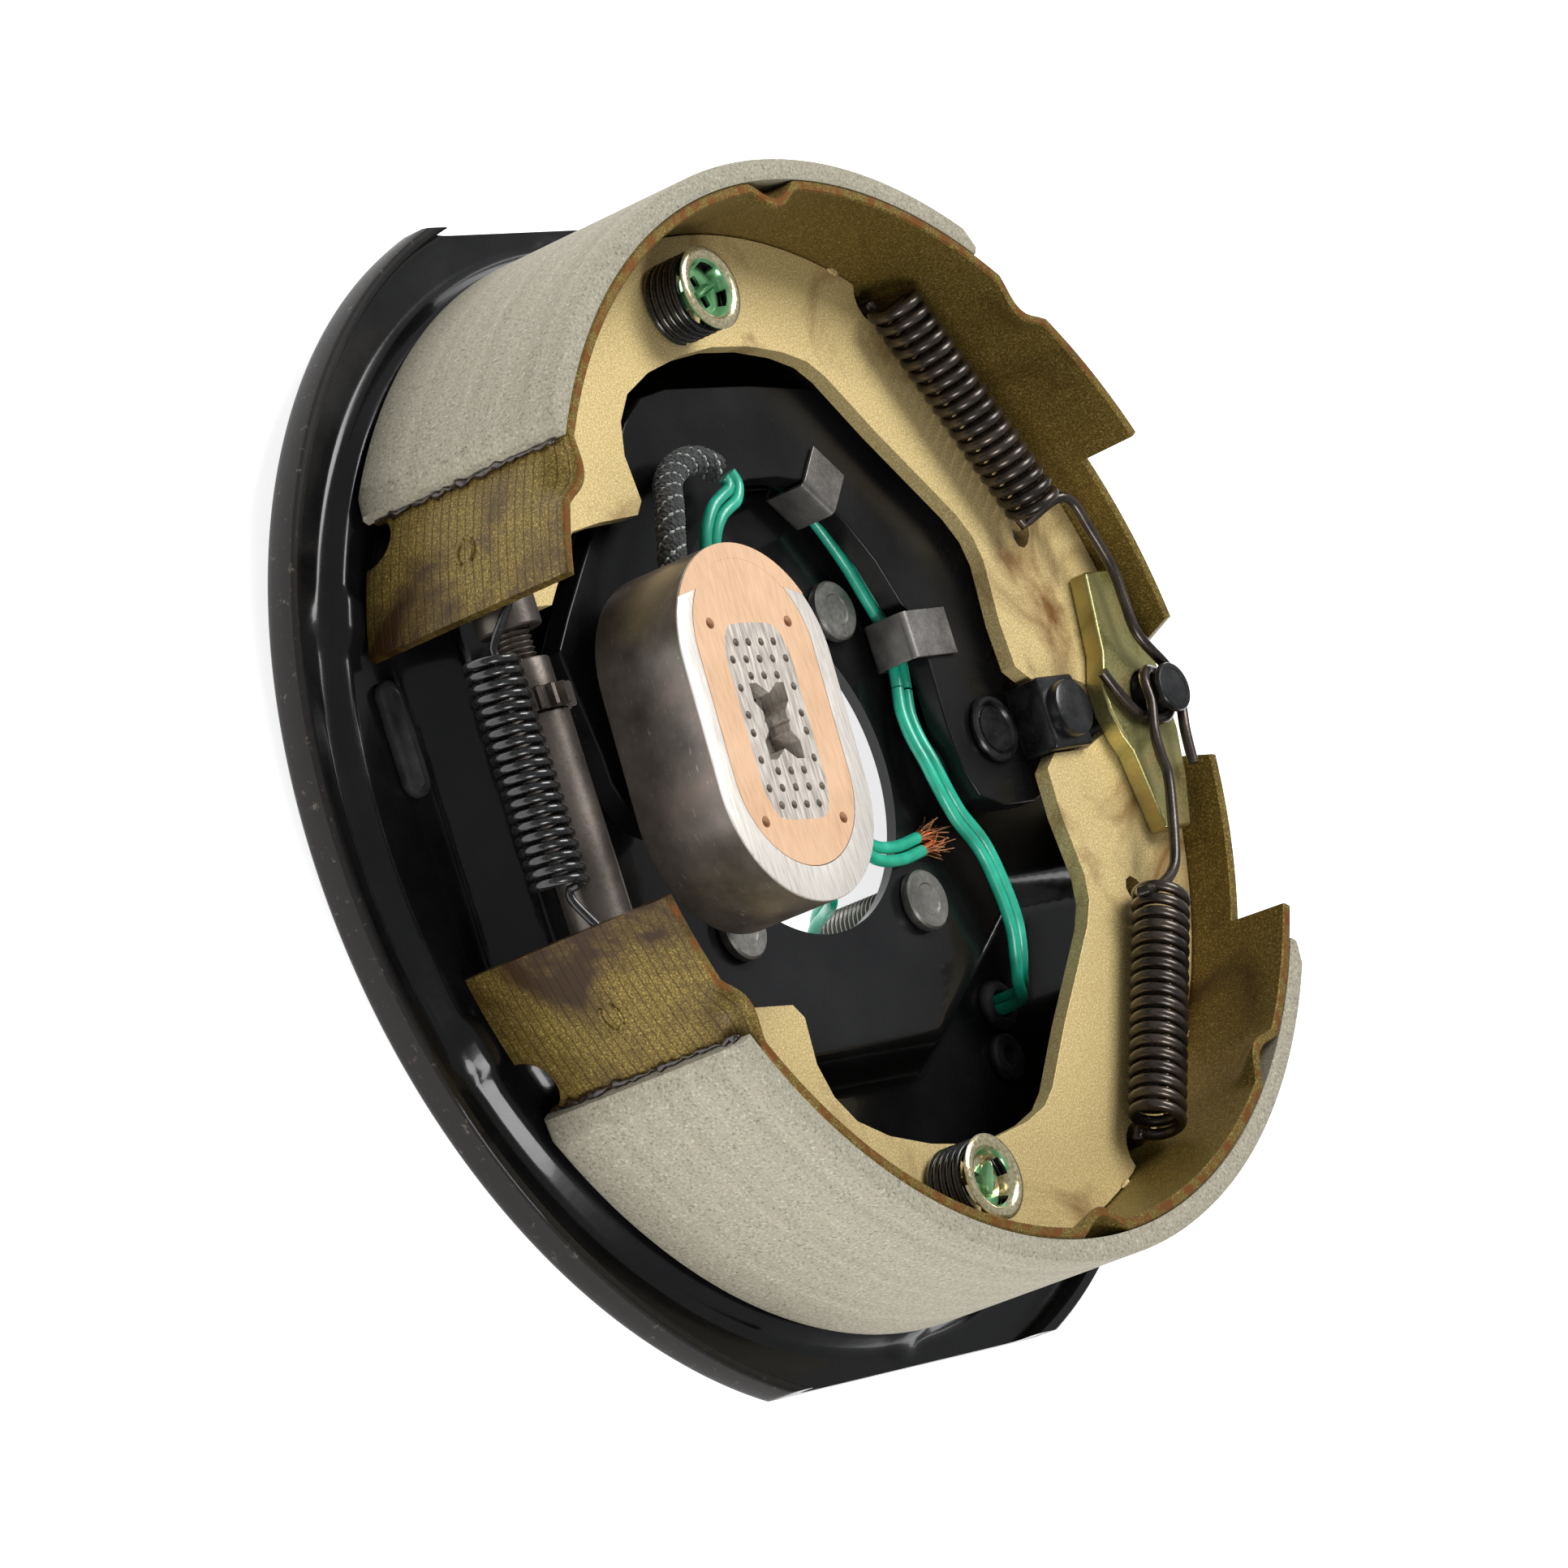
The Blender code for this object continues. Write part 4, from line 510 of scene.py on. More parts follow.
def outside_raised_centre(x, y):
    """Distance outside the raised centre; negative inside it."""
    x = abs(x)
    rise = RAISED_TOP_Y - SHOULDER_Y
    shoulder = rise * (x - RAISED_HALF_WIDTH) + SHOULDER_RUN * (y - SHOULDER_Y)
    shoulder /= math.hypot(rise, SHOULDER_RUN)
    centre = max(x - RAISED_HALF_WIDTH, RAISED_BOTTOM_Y - y, y - RAISED_TOP_Y,
                 math.hypot(x, y) - RAISED_RADIUS, shoulder)
    tongue = max(x - TONGUE_HALF_WIDTH, y - TONGUE_TOP_Y, -y)
    return min(centre, tongue)


def pressed_height(x, y):
    """Height of the plate's front."""
    radius = math.hypot(x, y)
    base = LEDGE_Z + (PLATE_FLOOR_Z - LEDGE_Z) * eased((radius - LEDGE_RADIUS) / STEP_WIDTH)
    height = SHEET + (base - SHEET) * eased(outside_raised_centre(x, y) / PRESS_SLOPE)
    for angle in PAD_ANGLES:
        pad = polar(PAD_PLACE, angle)
        away = math.hypot(x - pad[0], y - pad[1]) / PAD_RADIUS
        height = max(height, base + PAD_HEIGHT * eased(2 * (1 - away)))
    boss = BOSS_RADIUS - math.hypot(x - PIVOT[0], y - PIVOT[1])
    return height + BOSS_HEIGHT * eased(boss / 0.003) * eased(-outside_raised_centre(x, y) / 0.002)


def draw_plate(columns, row_step):
    """The drawn sheet: front rows from the bore outwards, the rolled rim, then the back rows."""
    lip = PLATE_FLOOR_Z + RIM_HEIGHT
    wall = RIM_RADIUS - SHEET
    bend = wall - RIM_BEND
    rows = round((bend - BORE_RADIUS) / row_step)
    radii = [BORE_RADIUS + (bend - BORE_RADIUS) * k / rows for k in range(rows + 1)]
    rings = []
    for i in range(columns):
        angle = 360 * i / columns
        front = [(r, pressed_height(*polar(r, angle))) for r in radii]
        rim = [(bend + RIM_BEND * math.sin(a), PLATE_FLOOR_Z + RIM_BEND * (1 - math.cos(a)))
               for a in map(math.radians, (22, 45, 68, 90))]
        rim += [(wall, lip - 0.0006), (wall + 0.0005, lip), (RIM_RADIUS - 0.0005, lip),
                (RIM_RADIUS, lip - 0.0006), (RIM_RADIUS, PLATE_FLOOR_Z)]
        rim += [(RIM_RADIUS - SHEET * (1 - math.cos(a)), PLATE_FLOOR_Z - SHEET * math.sin(a))
                for a in map(math.radians, (25, 50, 75))]
        back = [(r, z - SHEET) for r, z in reversed(front)]
        back[-1] = (back[-1][0] + 0.0004, back[-1][1])
        rings.append([(*polar(r, angle), z) for r, z in front + rim + back])
    bm = bmesh.new()
    loft(bm, rings, closed=True)
    for side in (-1, 1):
        made = bmesh.ops.bisect_plane(
            bm, geom=[*bm.verts, *bm.edges, *bm.faces], plane_co=(side * FLAT_X, 0, 0),
            plane_no=(side, 0, 0), clear_outer=True)
        edge = [item for item in made["geom_cut"] if isinstance(item, bmesh.types.BMEdge)]
        bmesh.ops.triangle_fill(bm, edges=edge, use_beauty=True)
    return bm


def mixed(finish, share, below, above):
    """One colour laid over another."""
    return add_node(finish, "MixRGB", {"Fac": share, "Color1": below, "Color2": above}).outputs["Color"]


def calculated(finish, operation, first, second):
    """What one operation makes of two values."""
    return add_node(finish, "Math", {0: first, 1: second}, operation=operation).outputs["Value"]


def ranged(finish, value, taken, given=(0.0, 1.0)):
    """A value carried from one range to another."""
    return add_node(finish, "MapRange", {
        "Value": value, "From Min": taken[0], "From Max": taken[1],
        "To Min": given[0], "To Max": given[1]}).outputs["Result"]


def coordinates(finish, place):
    """X, Y and Z of a place."""
    return add_node(finish, "SeparateXYZ", {"Vector": place}).outputs


# Black gloss enamel, dipped and baked: a deep black with a slight orange peel 3 mm across and dull
# dusty patches. The rim's outside is thin, brownish and duller, and chipped to grey-brown specks.
enamel, shader = start_finish(
    "black_gloss_enamel", IOR=1.5, Specular_IOR_Level=0.2, Coat_Weight=0.2, Coat_Roughness=0.06)
place = surface(enamel)
axes = coordinates(enamel, place)
flat_place = add_node(enamel, "CombineXYZ", {"X": axes["X"], "Y": axes["Y"]})
reach = add_node(enamel, "VectorMath", {"Vector": flat_place.outputs["Vector"]}, operation="LENGTH")
rim_side = ranged(enamel, reach.outputs["Value"], (0.1405, 0.1418))
patches = noise(enamel, place, 28.0, 6.0, 0.65)
wear = noise(enamel, place, 420.0, 8.0, 0.7)
chips = ramp(enamel, wear, [(0.60, 0.0), (0.68, 1.0)])
chipped_rim = calculated(enamel, "MULTIPLY", chips, rim_side)
body_tone = ramp(enamel, patches, [(0.35, "#0a0a0b"), (0.75, "#181819")])
rim_tone = mixed(enamel, rim_side, body_tone, "#15110f")
tone = mixed(enamel, chipped_rim, rim_tone, "#50483f")
dull = ramp(enamel, patches, [(0.35, 0.14), (0.8, 0.36)])
duller = mixed(enamel, rim_side, dull, (0.75, 0.75, 0.75, 1))
peel = noise(enamel, place, 330.0, 2.0)
relief = bumps(enamel, peel, 0.06, 0.0006)
feed(enamel, shader, Base_Color=tone, Roughness=duller, Normal=relief)
finish_piece("pressed_backing_plate", draw_plate(400, 0.00125), enamel, "backing", "backing_plate",
             angle=50)


# MOUNTING STUDS
# Four 7/16 inch press-in studs with low round heads on the front; their threaded shanks stick out
# behind and carry the brake. They are cold-headed steel with a dark oil-blackened finish.
STUD_SPACING = 0.0683
STUD_RADIUS = 0.00555
STUD_HEAD = 0.007
THREAD_PITCH = 0.00127
THREAD_ROOT = 0.0048


def turned(profile, count, centre=(0, 0), bm=None):
    """A turned solid about Z through a centre; its profile runs from end to end as (radius, z)."""
    rings = [[(*polar(r, 360 * i / count, centre), z) for i in range(count)] for r, z in profile]
    return loft(bm or bmesh.new(), rings)


# Oil-blackened steel, worn: mid grey and half gloss, with a faint grain about 1 mm across.
blackened = cloudy_and_grained(
    "oil_blackened_steel", (90.0, 3.0), (900.0, 6.0), [(0.3, "#63625e"), (0.75, "#989690")],
    [(0.3, 0.30), (0.8, 0.52)], (0.15, 0.0003), Metallic=0.8)

seat = SHEET + GAP
half = STUD_SPACING / 2
for number, (x, y) in enumerate(((half, half), (-half, half), (-half, -half), (half, -half)), 1):
    profile = [(0.0, FLOOR_Z), (0.0038, FLOOR_Z), (0.0046, FLOOR_Z + 0.001)]
    z = FLOOR_Z + 0.0014
    while z < -0.004:
        profile += [(THREAD_ROOT, z), (STUD_RADIUS, z + THREAD_PITCH * 0.4),
                    (STUD_RADIUS, z + THREAD_PITCH * 0.6)]
        z += THREAD_PITCH
    profile += [
        (STUD_RADIUS - 0.0002, z), (STUD_RADIUS - 0.0002, seat), (STUD_HEAD - 0.0002, seat),
        (STUD_HEAD, seat + 0.0003), (STUD_HEAD, seat + 0.0021), (STUD_HEAD - 0.0005, seat + 0.0026),
        (STUD_HEAD * 0.55, seat + 0.0026), (STUD_HEAD * 0.5, seat + 0.0023), (0.0, seat + 0.0022),
    ]
    finish_piece(f"threaded_stud_{number}", turned(profile, 40, (x, y)), blackened, "backing",
                 f"mounting_stud_{number}")


# ANCHOR POST AND LEVER PIVOT
# Two turned steel posts riveted through the plate: the shoes bear on the first and the springs hook
# round its neck under a button head; the lever turns on the second, held by its spun-over end.
ANCHOR = (0, 0.1095)
WEB_Z = 0.019
WEB_FRONT_Z = 0.023
GUIDE_FRONT_Z = 0.0285
ANCHOR_HEAD_Z = 0.0346
LEVER_Z = 0.0095
LEVER_FRONT_Z = 0.0155


def raised(level, profile):
    """A profile whose heights are counted from a level."""
    return [(r, level + z) for r, z in profile]


# Black phosphated steel under oil: satin black, a little blue, with grey clouds.
phosphate = cloudy_and_grained(
    "black_phosphated_steel", (140.0, 5.0, 0.7), (1100.0, 5.0), [(0.4, "#131314"), (0.8, "#3b3b3c")],
    [(0.3, 0.24), (0.8, 0.42)], (0.12, 0.0003), Metallic=0.55, Coat_Weight=0.25, Coat_Roughness=0.2)

post_profile = [
    (0.0, -0.0033), (0.0078, -0.0033), (0.0084, -0.0028), (0.009, -GAP), (0.006, -GAP), (0.006, seat),
    (0.0106, seat), (0.011, 0.0037), (0.011, 0.0079), (0.0106, 0.0083), (0.008, 0.0083),
    (0.008, WEB_FRONT_Z), (0.006, WEB_FRONT_Z), (0.006, GUIDE_FRONT_Z), (0.004, GUIDE_FRONT_Z)]
post_profile += raised(ANCHOR_HEAD_Z, [(0.004, 0.0), (0.0054, 0.0001), (0.0059, 0.0005)])
post_profile += raised(ANCHOR_HEAD_Z + 0.0018, [
    (0.0059, -0.0007), (0.0056, -0.0002), (0.0050, 0.0), (0.0044, -0.0001), (0.0042, -0.0003),
    (0.0, -0.0002)])
finish_piece("button_headed_post", turned(post_profile, 56, ANCHOR), phosphate, "backing", "anchor_post",
             slot="black_steel")
pivot_profile = [
    (0.0, -0.0028), (0.0066, -0.0028), (0.0074, -0.0022), (0.008, -GAP), (0.005, -GAP), (0.005, seat),
    (0.0096, seat), (0.010, 0.0037), (0.010, LEVER_Z - GAP), (0.006, LEVER_Z - GAP)]
pivot_profile += raised(LEVER_FRONT_Z, [
    (0.006, GAP), (0.0074, GAP), (0.0078, 0.0006), (0.0078, 0.0013), (0.0074, 0.0018), (0.0064, 0.0018),
    (0.0060, 0.0009), (0.0057, 0.0006), (0.0053, 0.0009), (0.0052, 0.0014), (0.0, 0.0014)])
finish_piece("spun_lever_pivot", turned(pivot_profile, 56, PIVOT), phosphate, "backing", "lever_pivot",
             slot="black_steel")


# ACTUATING LEVER AND BLOCK
# The lever is blanked from 6 mm plate and painted with the same black, thinner and scratched; the
# block that spreads the shoes is a forged square with a round boss, free to turn in the lever.
BLOCK = (0, 0.079)


def welded_copy(node):
    """The CAD solid of a flat piece as one joined mesh, with its flat faces whole again."""
    bm = bmesh.new()
    bm.from_mesh(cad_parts[node].data)
    bmesh.ops.remove_doubles(bm, verts=bm.verts, dist=2e-6)
    bmesh.ops.dissolve_limit(bm, angle_limit=math.radians(0.5), verts=bm.verts, edges=bm.edges)
    return bm


def slab(outline, z_low, z_high, holes=(), bm=None):
    """A flat piece of even thickness with its holes."""
    bm = bm or bmesh.new()
    edges = []
    for loop in (outline, *holes):
        ring = [bm.verts.new((x, y, z_low)) for x, y in loop]
        edges += [bm.edges.new((ring[i - 1], ring[i])) for i in range(len(ring))]
    filled = bmesh.ops.triangle_fill(bm, edges=edges, use_beauty=True)
    faces = [item for item in filled["geom"] if isinstance(item, bmesh.types.BMFace)]
    lifted = bmesh.ops.extrude_face_region(bm, geom=faces)
    raised = [item for item in lifted["geom"] if isinstance(item, bmesh.types.BMVert)]
    bmesh.ops.translate(bm, verts=raised, vec=(0, 0, z_high - z_low))
    return bm


def stretched(finish, place, scale, rotation=(0, 0, 0)):
    """The place with one direction drawn out."""
    return add_node(finish, "Mapping", {
        "Vector": place, "Rotation": rotation, "Scale": scale}).outputs["Vector"]


# Air-dried black paint on plate: satin, with fine scratches 0.2 mm wide along the swing and light
# specks where it is knocked through.
lever_paint, shader = start_finish("air_dried_black_paint", IOR=1.5, Specular_IOR_Level=0.2)
place = surface(lever_paint)
drawn = stretched(lever_paint, place, (1.0, 9.0, 1.0), (0, 0, 0.8))
scratches = noise(lever_paint, drawn, 260.0, 10.0, 0.75)
marks = ramp(lever_paint, scratches, [(0.62, 0.0), (0.74, 1.0)])
clouds = noise(lever_paint, place, 45.0, 5.0)
base = ramp(lever_paint, clouds, [(0.35, "#0b0b0c"), (0.75, "#161617")])
tone = mixed(lever_paint, marks, base, "#4c4c4e")
gloss = ramp(lever_paint, clouds, [(0.35, 0.2), (0.8, 0.4)])
relief = bumps(lever_paint, scratches, 0.08, 0.0003)
feed(lever_paint, shader, Base_Color=tone, Roughness=gloss, Normal=relief)
finish_piece("blanked_lever", welded_copy("actuating_lever"), lever_paint, "lever", "actuating_lever",
             bevel=0.0006, slot="black_paint")

block_low, block_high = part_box("actuating_block")
corners = [(block_low.x, block_low.y), (block_high.x, block_low.y),
           (block_high.x, block_high.y), (block_low.x, block_high.y)]
block = slab(corners, LEVER_FRONT_Z + GAP, 0.026)
bmesh.ops.bevel(block, geom=list(block.edges), offset=0.0009, segments=3, affect="EDGES", profile=0.6)
boss_top = block_high.z
turned([(0.004, LEVER_Z), (0.004, LEVER_FRONT_Z + 0.0006)], 40, BLOCK, block)
turned([(0.0067, 0.0257), (0.0067, boss_top - 0.0009), (0.0065, boss_top - 0.0003), (0.0060, boss_top),
        (0.0, boss_top)], 56, BLOCK, block)
finish_piece("forged_block", block, phosphate, "block", "actuating_block", slot="black_steel")


# MAGNET
# An iron cup with a potted winding round an iron core, its front ground flat after a bronze-filled
# friction face is pressed in. The face runs out over the cup's edge at the outer end. The cup sits
# on the lever's stud over a small spring, and a star clip in the core's opening holds it.
MAGNET = Vector((-0.0009, -0.0586))
MAGNET_TILT = math.radians(-3)
MAGNET_BACK_Z = 0.024
MAGNET_FRONT_Z = 0.048
CUP_LENGTH = 0.080
CUP_WIDTH = 0.051
POCKET_LENGTH = 0.069
POCKET_WIDTH = 0.040
POCKET_SHIFT = 0.0022
FACE_BACK_Z = 0.042
magnet_turn = Matrix.Rotation(MAGNET_TILT, 2)


def magnet_point(x, y):
    """A point from the magnet's centre, along its own tilted axes."""
    return tuple(magnet_turn @ Vector((x, y)) + MAGNET)


def arc(radius, start, end, count, centre=(0, 0)):
    """Points along an arc, both ends included."""
    return [polar(radius, start + (end - start) * i / (count - 1), centre) for i in range(count)]


def lozenge(radius, half_run, count, centre=(0, 0)):
    """A slot-shaped outline along X."""
    x, y = centre
    right = arc(radius, -90, 90, count, (x + half_run, y))
    return right + arc(radius, 90, 270, count, (x - half_run, y))


def stadium(length, width, shift=0.0):
    """A slot-shaped outline in the magnet's axes."""
    return [magnet_point(x, y) for x, y in lozenge(width / 2, (length - width) / 2, 40, (-shift, 0))]


def along_magnet(point):
    """How far a point lies along the magnet from its centre."""
    return (magnet_turn.transposed() @ (Vector(point) - MAGNET)).x


# Cast iron cup, ground on its sides too and oiled: grey-brown and half metallic, with rust-brown
# clouds 20 mm across, scratches along the magnet and small chips. Its ground front is pale silver
# with fine crossing lines 0.3 mm apart.
cup_iron, shader = start_finish("oily_cast_iron", IOR=1.5, Coat_Weight=0.2, Coat_Roughness=0.2)
place = surface(cup_iron)
axes = coordinates(cup_iron, place)
ground = ranged(cup_iron, axes["Z"], (MAGNET_FRONT_Z - 0.0006, MAGNET_FRONT_Z - 0.0003))
clouds = noise(cup_iron, place, 38.0, 6.0, 0.6)
skin = ramp(cup_iron, clouds, [(0.34, "#46413c"), (0.52, "#6e665e"), (0.72, "#96857a")])
drawn = stretched(cup_iron, place, (0.35, 0.35, 2.4))
rubs = noise(cup_iron, drawn, 700.0, 8.0, 0.7)
rub_marks = ramp(cup_iron, rubs, [(0.63, 0.0), (0.72, 1.0)])
rubbed = mixed(cup_iron, rub_marks, skin, "#d2c8bc")
turned_place = stretched(cup_iron, place, (0.08, 1.0, 1.0), (0, 0, 0.6))
lines = noise(cup_iron, turned_place, 1500.0, 7.0, 0.7)
bright = ramp(cup_iron, lines, [(0.3, "#c3bbb1"), (0.5, "#e6dfd6"), (0.72, "#f7f2ea")])
tone = mixed(cup_iron, ground, rubbed, bright)
metal = ranged(cup_iron, ground, (0, 1), (0.4, 0.55))
gloss = ramp(cup_iron, clouds, [(0.3, 0.3), (0.8, 0.5)])
relief = bumps(cup_iron, rubs, 0.12, 0.0003)
feed(cup_iron, shader, Base_Color=tone, Metallic=metal, Roughness=gloss, Normal=relief)

RUN_OUT_X = -0.028
cup = bmesh.new()
outer = stadium(CUP_LENGTH, CUP_WIDTH)
pocket = stadium(POCKET_LENGTH, POCKET_WIDTH, POCKET_SHIFT)
back, front = MAGNET_BACK_Z, MAGNET_FRONT_Z
floor_z = back + 0.005
edge = 0.0004


def shrunk(outline, inset, z):
    """An outline drawn in towards the magnet's centre line at a height."""
    reach = (CUP_LENGTH - CUP_WIDTH) / 2
    ring = []
    for point in map(Vector, outline):
        middle = Vector(magnet_point(min(max(along_magnet(point), -reach), reach), 0))
        ring.append((*(point + (middle - point).normalized() * inset), z))
    return ring


loft(cup, [shrunk(*ring) for ring in (
    (outer, 0.0190, back), (outer, 0.0008, back), (outer, 0.0002, back + 0.0003),
    (outer, 0, back + 0.001), (outer, 0, front - edge), (outer, edge * 0.3, front - edge * 0.3),
    (outer, edge, front),
    (pocket, 0, front), (pocket, 0, floor_z), (pocket, 0.0145, floor_z))], closed=True)
finish_piece("iron_magnet_cup", cup, cup_iron, "magnet", "magnet_housing", slot="magnet_steel")

# Copper winding under brown resin: seen only as dark copper in the gap round the core.
winding, shader = start_finish("resin_potted_winding", Metallic=0.6, Roughness=0.5)
place = surface(winding)
strands = add_node(winding, "TexWave", {"Vector": place, "Scale": 400.0, "Distortion": 1.5},
                   bands_direction="Z")
tone = ramp(winding, strands.outputs["Fac"], [(0.2, "#4a2413"), (0.8, "#a2562f")])
feed(winding, shader, Base_Color=tone)
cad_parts["magnet_coil"].data.materials[0] = winding

# Pressed bronze-filled friction compound, ground: peach, matt, with a soft long grain along the
# magnet 0.4 mm apart and faint pale clouds.
compound, shader = start_finish("ground_bronze_compound", Metallic=0.2)
place = surface(compound)
along = stretched(compound, place, (0.12, 1.0, 1.0))
grain = noise(compound, along, 1600.0, 6.0)
clouds = noise(compound, place, 70.0, 4.0)
fine = ramp(compound, grain, [(0.3, "#b78f6d"), (0.7, "#d3aa86")])
tone = mixed(compound, clouds, fine, "#dcb896")
relief = bumps(compound, grain, 0.12, 0.0002)
gloss = ramp(compound, grain, [(0.3, 0.42), (0.7, 0.6)])
feed(compound, shader, Base_Color=tone, Roughness=gloss, Normal=relief)

# The panel of the core: a long octagon with rounded corners and an X-shaped opening.
panel_half = [(0.0216, -0.0070), (0.0219, -0.0035), (0.0219, 0.0035), (0.0216, 0.0070), (0.0209, 0.0083),
              (0.0190, 0.0097), (0.0160, 0.0108), (0.0130, 0.0112)]
panel = panel_half + [(-x, y) for x, y in reversed(panel_half)]
panel += [(-x, -y) for x, y in panel_half[4:]] + [(x, -y) for x, y in reversed(panel_half[4:])]
panel = [magnet_point(x, y) for x, y in panel]
face_outline = stadium(POCKET_LENGTH - 0.0004, POCKET_WIDTH - 0.0004, POCKET_SHIFT)
holes = [panel]
for side_x in (-1, 1):
    for side_y in (-1, 1):
        holes.append(arc(0.0013, 0, 337.5, 16, magnet_point(side_x * 0.022, side_y * 0.0135)))
face = slab(face_outline, FACE_BACK_Z, front, holes)
run_out = [p for p in stadium(CUP_LENGTH - 0.0002, CUP_WIDTH - 0.0002) if along_magnet(p) < RUN_OUT_X]
inner_edge = [p for p in stadium(POCKET_LENGTH - 0.0006, POCKET_WIDTH - 0.0006, POCKET_SHIFT)
              if along_magnet(p) < RUN_OUT_X - 0.001]
slab(run_out + inner_edge[::-1], front - 0.0001, front + 0.00005, bm=face)
finish_piece("bronze_friction_face", face, compound, "magnet", "magnet_friction_face",
             slot="friction_face")

# Ground core iron: pale silver with fine lines along the magnet, and darker clouds.
core_iron, shader = start_finish("ground_core_iron", Metallic=0.75)
place = surface(core_iron)
along = stretched(core_iron, place, (0.1, 1.0, 1.0))
grain = noise(core_iron, along, 1800.0, 6.0)
tone = ramp(core_iron, grain, [(0.3, "#bdb3a8"), (0.7, "#eae1d6")])
gloss = ramp(core_iron, grain, [(0.3, 0.3), (0.7, 0.5)])
feed(core_iron, shader, Base_Color=tone, Roughness=gloss)

bow = [(0.0085, 0.0060), (0.0045, 0.0060), (0.0022, 0.0039), (0.0006, 0.0039), (0.0, 0.0045),
       (-0.0006, 0.0039), (-0.0022, 0.0039), (-0.0045, 0.0060), (-0.0085, 0.0060), (-0.0085, 0.0034),
       (-0.0062, 0.0)]
bow += [(x, -y) for x, y in reversed(bow[:-1])] + [(0.0085, -0.0034), (0.0062, 0.0), (0.0085, 0.0034)]
bow = [magnet_point(x, y) for x, y in dict.fromkeys(bow)]
DRILLED_ROWS = {0.0181: (0.0022, 0.0065), 0.0143: (0.0, 0.0046, 0.0092), 0.0106: (0.0, 0.0045),
                0.0080: (0.0092,), 0.0020: (0.0092,)}
drilled = []
for x, offsets in DRILLED_ROWS.items():
    for side_x in (-1, 1):
        for y in offsets:
            for side_y in (-1, 1) if y else (1,):
                centre = magnet_point(side_x * x + 0.0005, side_y * y)
                drilled.append(arc(0.00095, 0, 330, 12, centre))
core = slab(panel, front - 0.0045, front, [bow, *drilled])
slab(panel, floor_z + GAP, front - 0.0046, [bow], core)
finish_piece("drilled_core", core, core_iron, "magnet", "magnet_core", slot="ground_steel")
stud_profile = [(0.0032, LEVER_Z), (0.0032, 0.0407), (0.0019, 0.0407), (0.0019, 0.0425),
                (0.0029, 0.0425), (0.0029, 0.0433), (0.0024, 0.0437), (0.0, 0.0438)]
finish_piece("magnet_stud_pin", turned(stud_profile, 32, tuple(MAGNET)), blackened, "lever",
             "magnet_stud", slot="magnet_steel")
finish_piece("star_clip", welded_copy("magnet_clip"), blackened, "lever", "magnet_clip", bevel=0.0002,
             slot="magnet_steel")
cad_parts["magnet_spring"].data.materials[0] = phosphate


# SHOES
# Each shoe is a 2.5 mm strip rolled to the drum's curve and welded to a flat 4 mm web. The strip's
# front edge is pinched in at three nibs, its back edge has a half-round notch, and beyond the lining
# it narrows towards the anchor. The shoe is dipped in a gold primer that pools brown at its edges.
SHOE_BACK_Z = -0.0076
SHOE_FRONT_Z = 0.04955
TABLE_RADIUS = 0.121
TABLE_SHEET = 0.0025
NIBS = (-60, -1, 41)
NIB_DEPTH = 0.004
NIB_HEIGHT = 0.0095
NOTCH_RADIUS = 0.0065
SHOES = (
    ("secondary", False, -74, 83.0, -61, -58, 58),
    ("primary", True, -72, 83.5, -59, -56.5, 33),
)
STRIP_START = 62
STRIP_Z = 0.0075
STRIP_WIDTH = 0.027
LINE_PITCH = 0.0024
WELD_LUMPS = [0.0002, 0.0005, 0.0009, 0.0007, 0.0010, 0.0006, 0.0002]


def strip_columns(start, end, notch, step):
    """Columns of a rolled strip: angle, back, front and the nib's depth at the front edge."""
    reach = math.degrees(NOTCH_RADIUS / TABLE_RADIUS)
    angles = {start, end, STRIP_START - 0.25, STRIP_START + 0.75, end - 1.5}
    angles.update(start + step * i for i in range(1, int((end - start) / step)))
    angles.update(notch + reach * math.sin(math.radians(a)) for a in range(-90, 91, 10))
    columns = []
    for angle in sorted(angles):
        wide = angle < STRIP_START
        back = SHOE_BACK_Z if wide else STRIP_Z
        front = SHOE_FRONT_Z if wide else STRIP_Z + STRIP_WIDTH
        share = abs(angle - notch) / reach
        if share < 1:
            back += NOTCH_RADIUS * math.sqrt(1 - share * share)
        depth = max(max(0, 1 - (abs(angle - nib) / 4) ** 2) ** 1.4 for nib in NIBS) * NIB_DEPTH
        if angle > end - 1:
            front -= 0.0075
        columns.append((angle, back, front, depth))
    return columns


def shoe_angle(degrees, flip):
    """An angle on the secondary side, or its mirror on the primary side."""
    return 180 - degrees if flip else degrees


def rolled(columns, inner, outer, flip, soft=0.0004):
    """Bend a strip round the axis, with softened edges; flip puts it on the primary side."""
    rings = []
    for angle, back, front, depth in columns:
        slope = [(depth * eased(1 - part / 8), front - NIB_HEIGHT * part / 8)
                 for part in (8, 6, 5, 4, 3, 2, 1)]
        rows = [(inner + soft, back), (inner, back + soft)] + [(inner - dip, z) for dip, z in slope]
        rows += [(inner - depth, front - soft), (inner - depth + soft, front),
                 (outer - depth - soft, front), (outer - depth, front - soft)]
        rows += [(outer - dip, z) for dip, z in reversed(slope)]
        rows += [(outer, back + soft), (outer - soft, back)]
        rings.append([(*polar(r, shoe_angle(angle, flip)), z) for r, z in rows])
    return loft(bmesh.new(), rings)


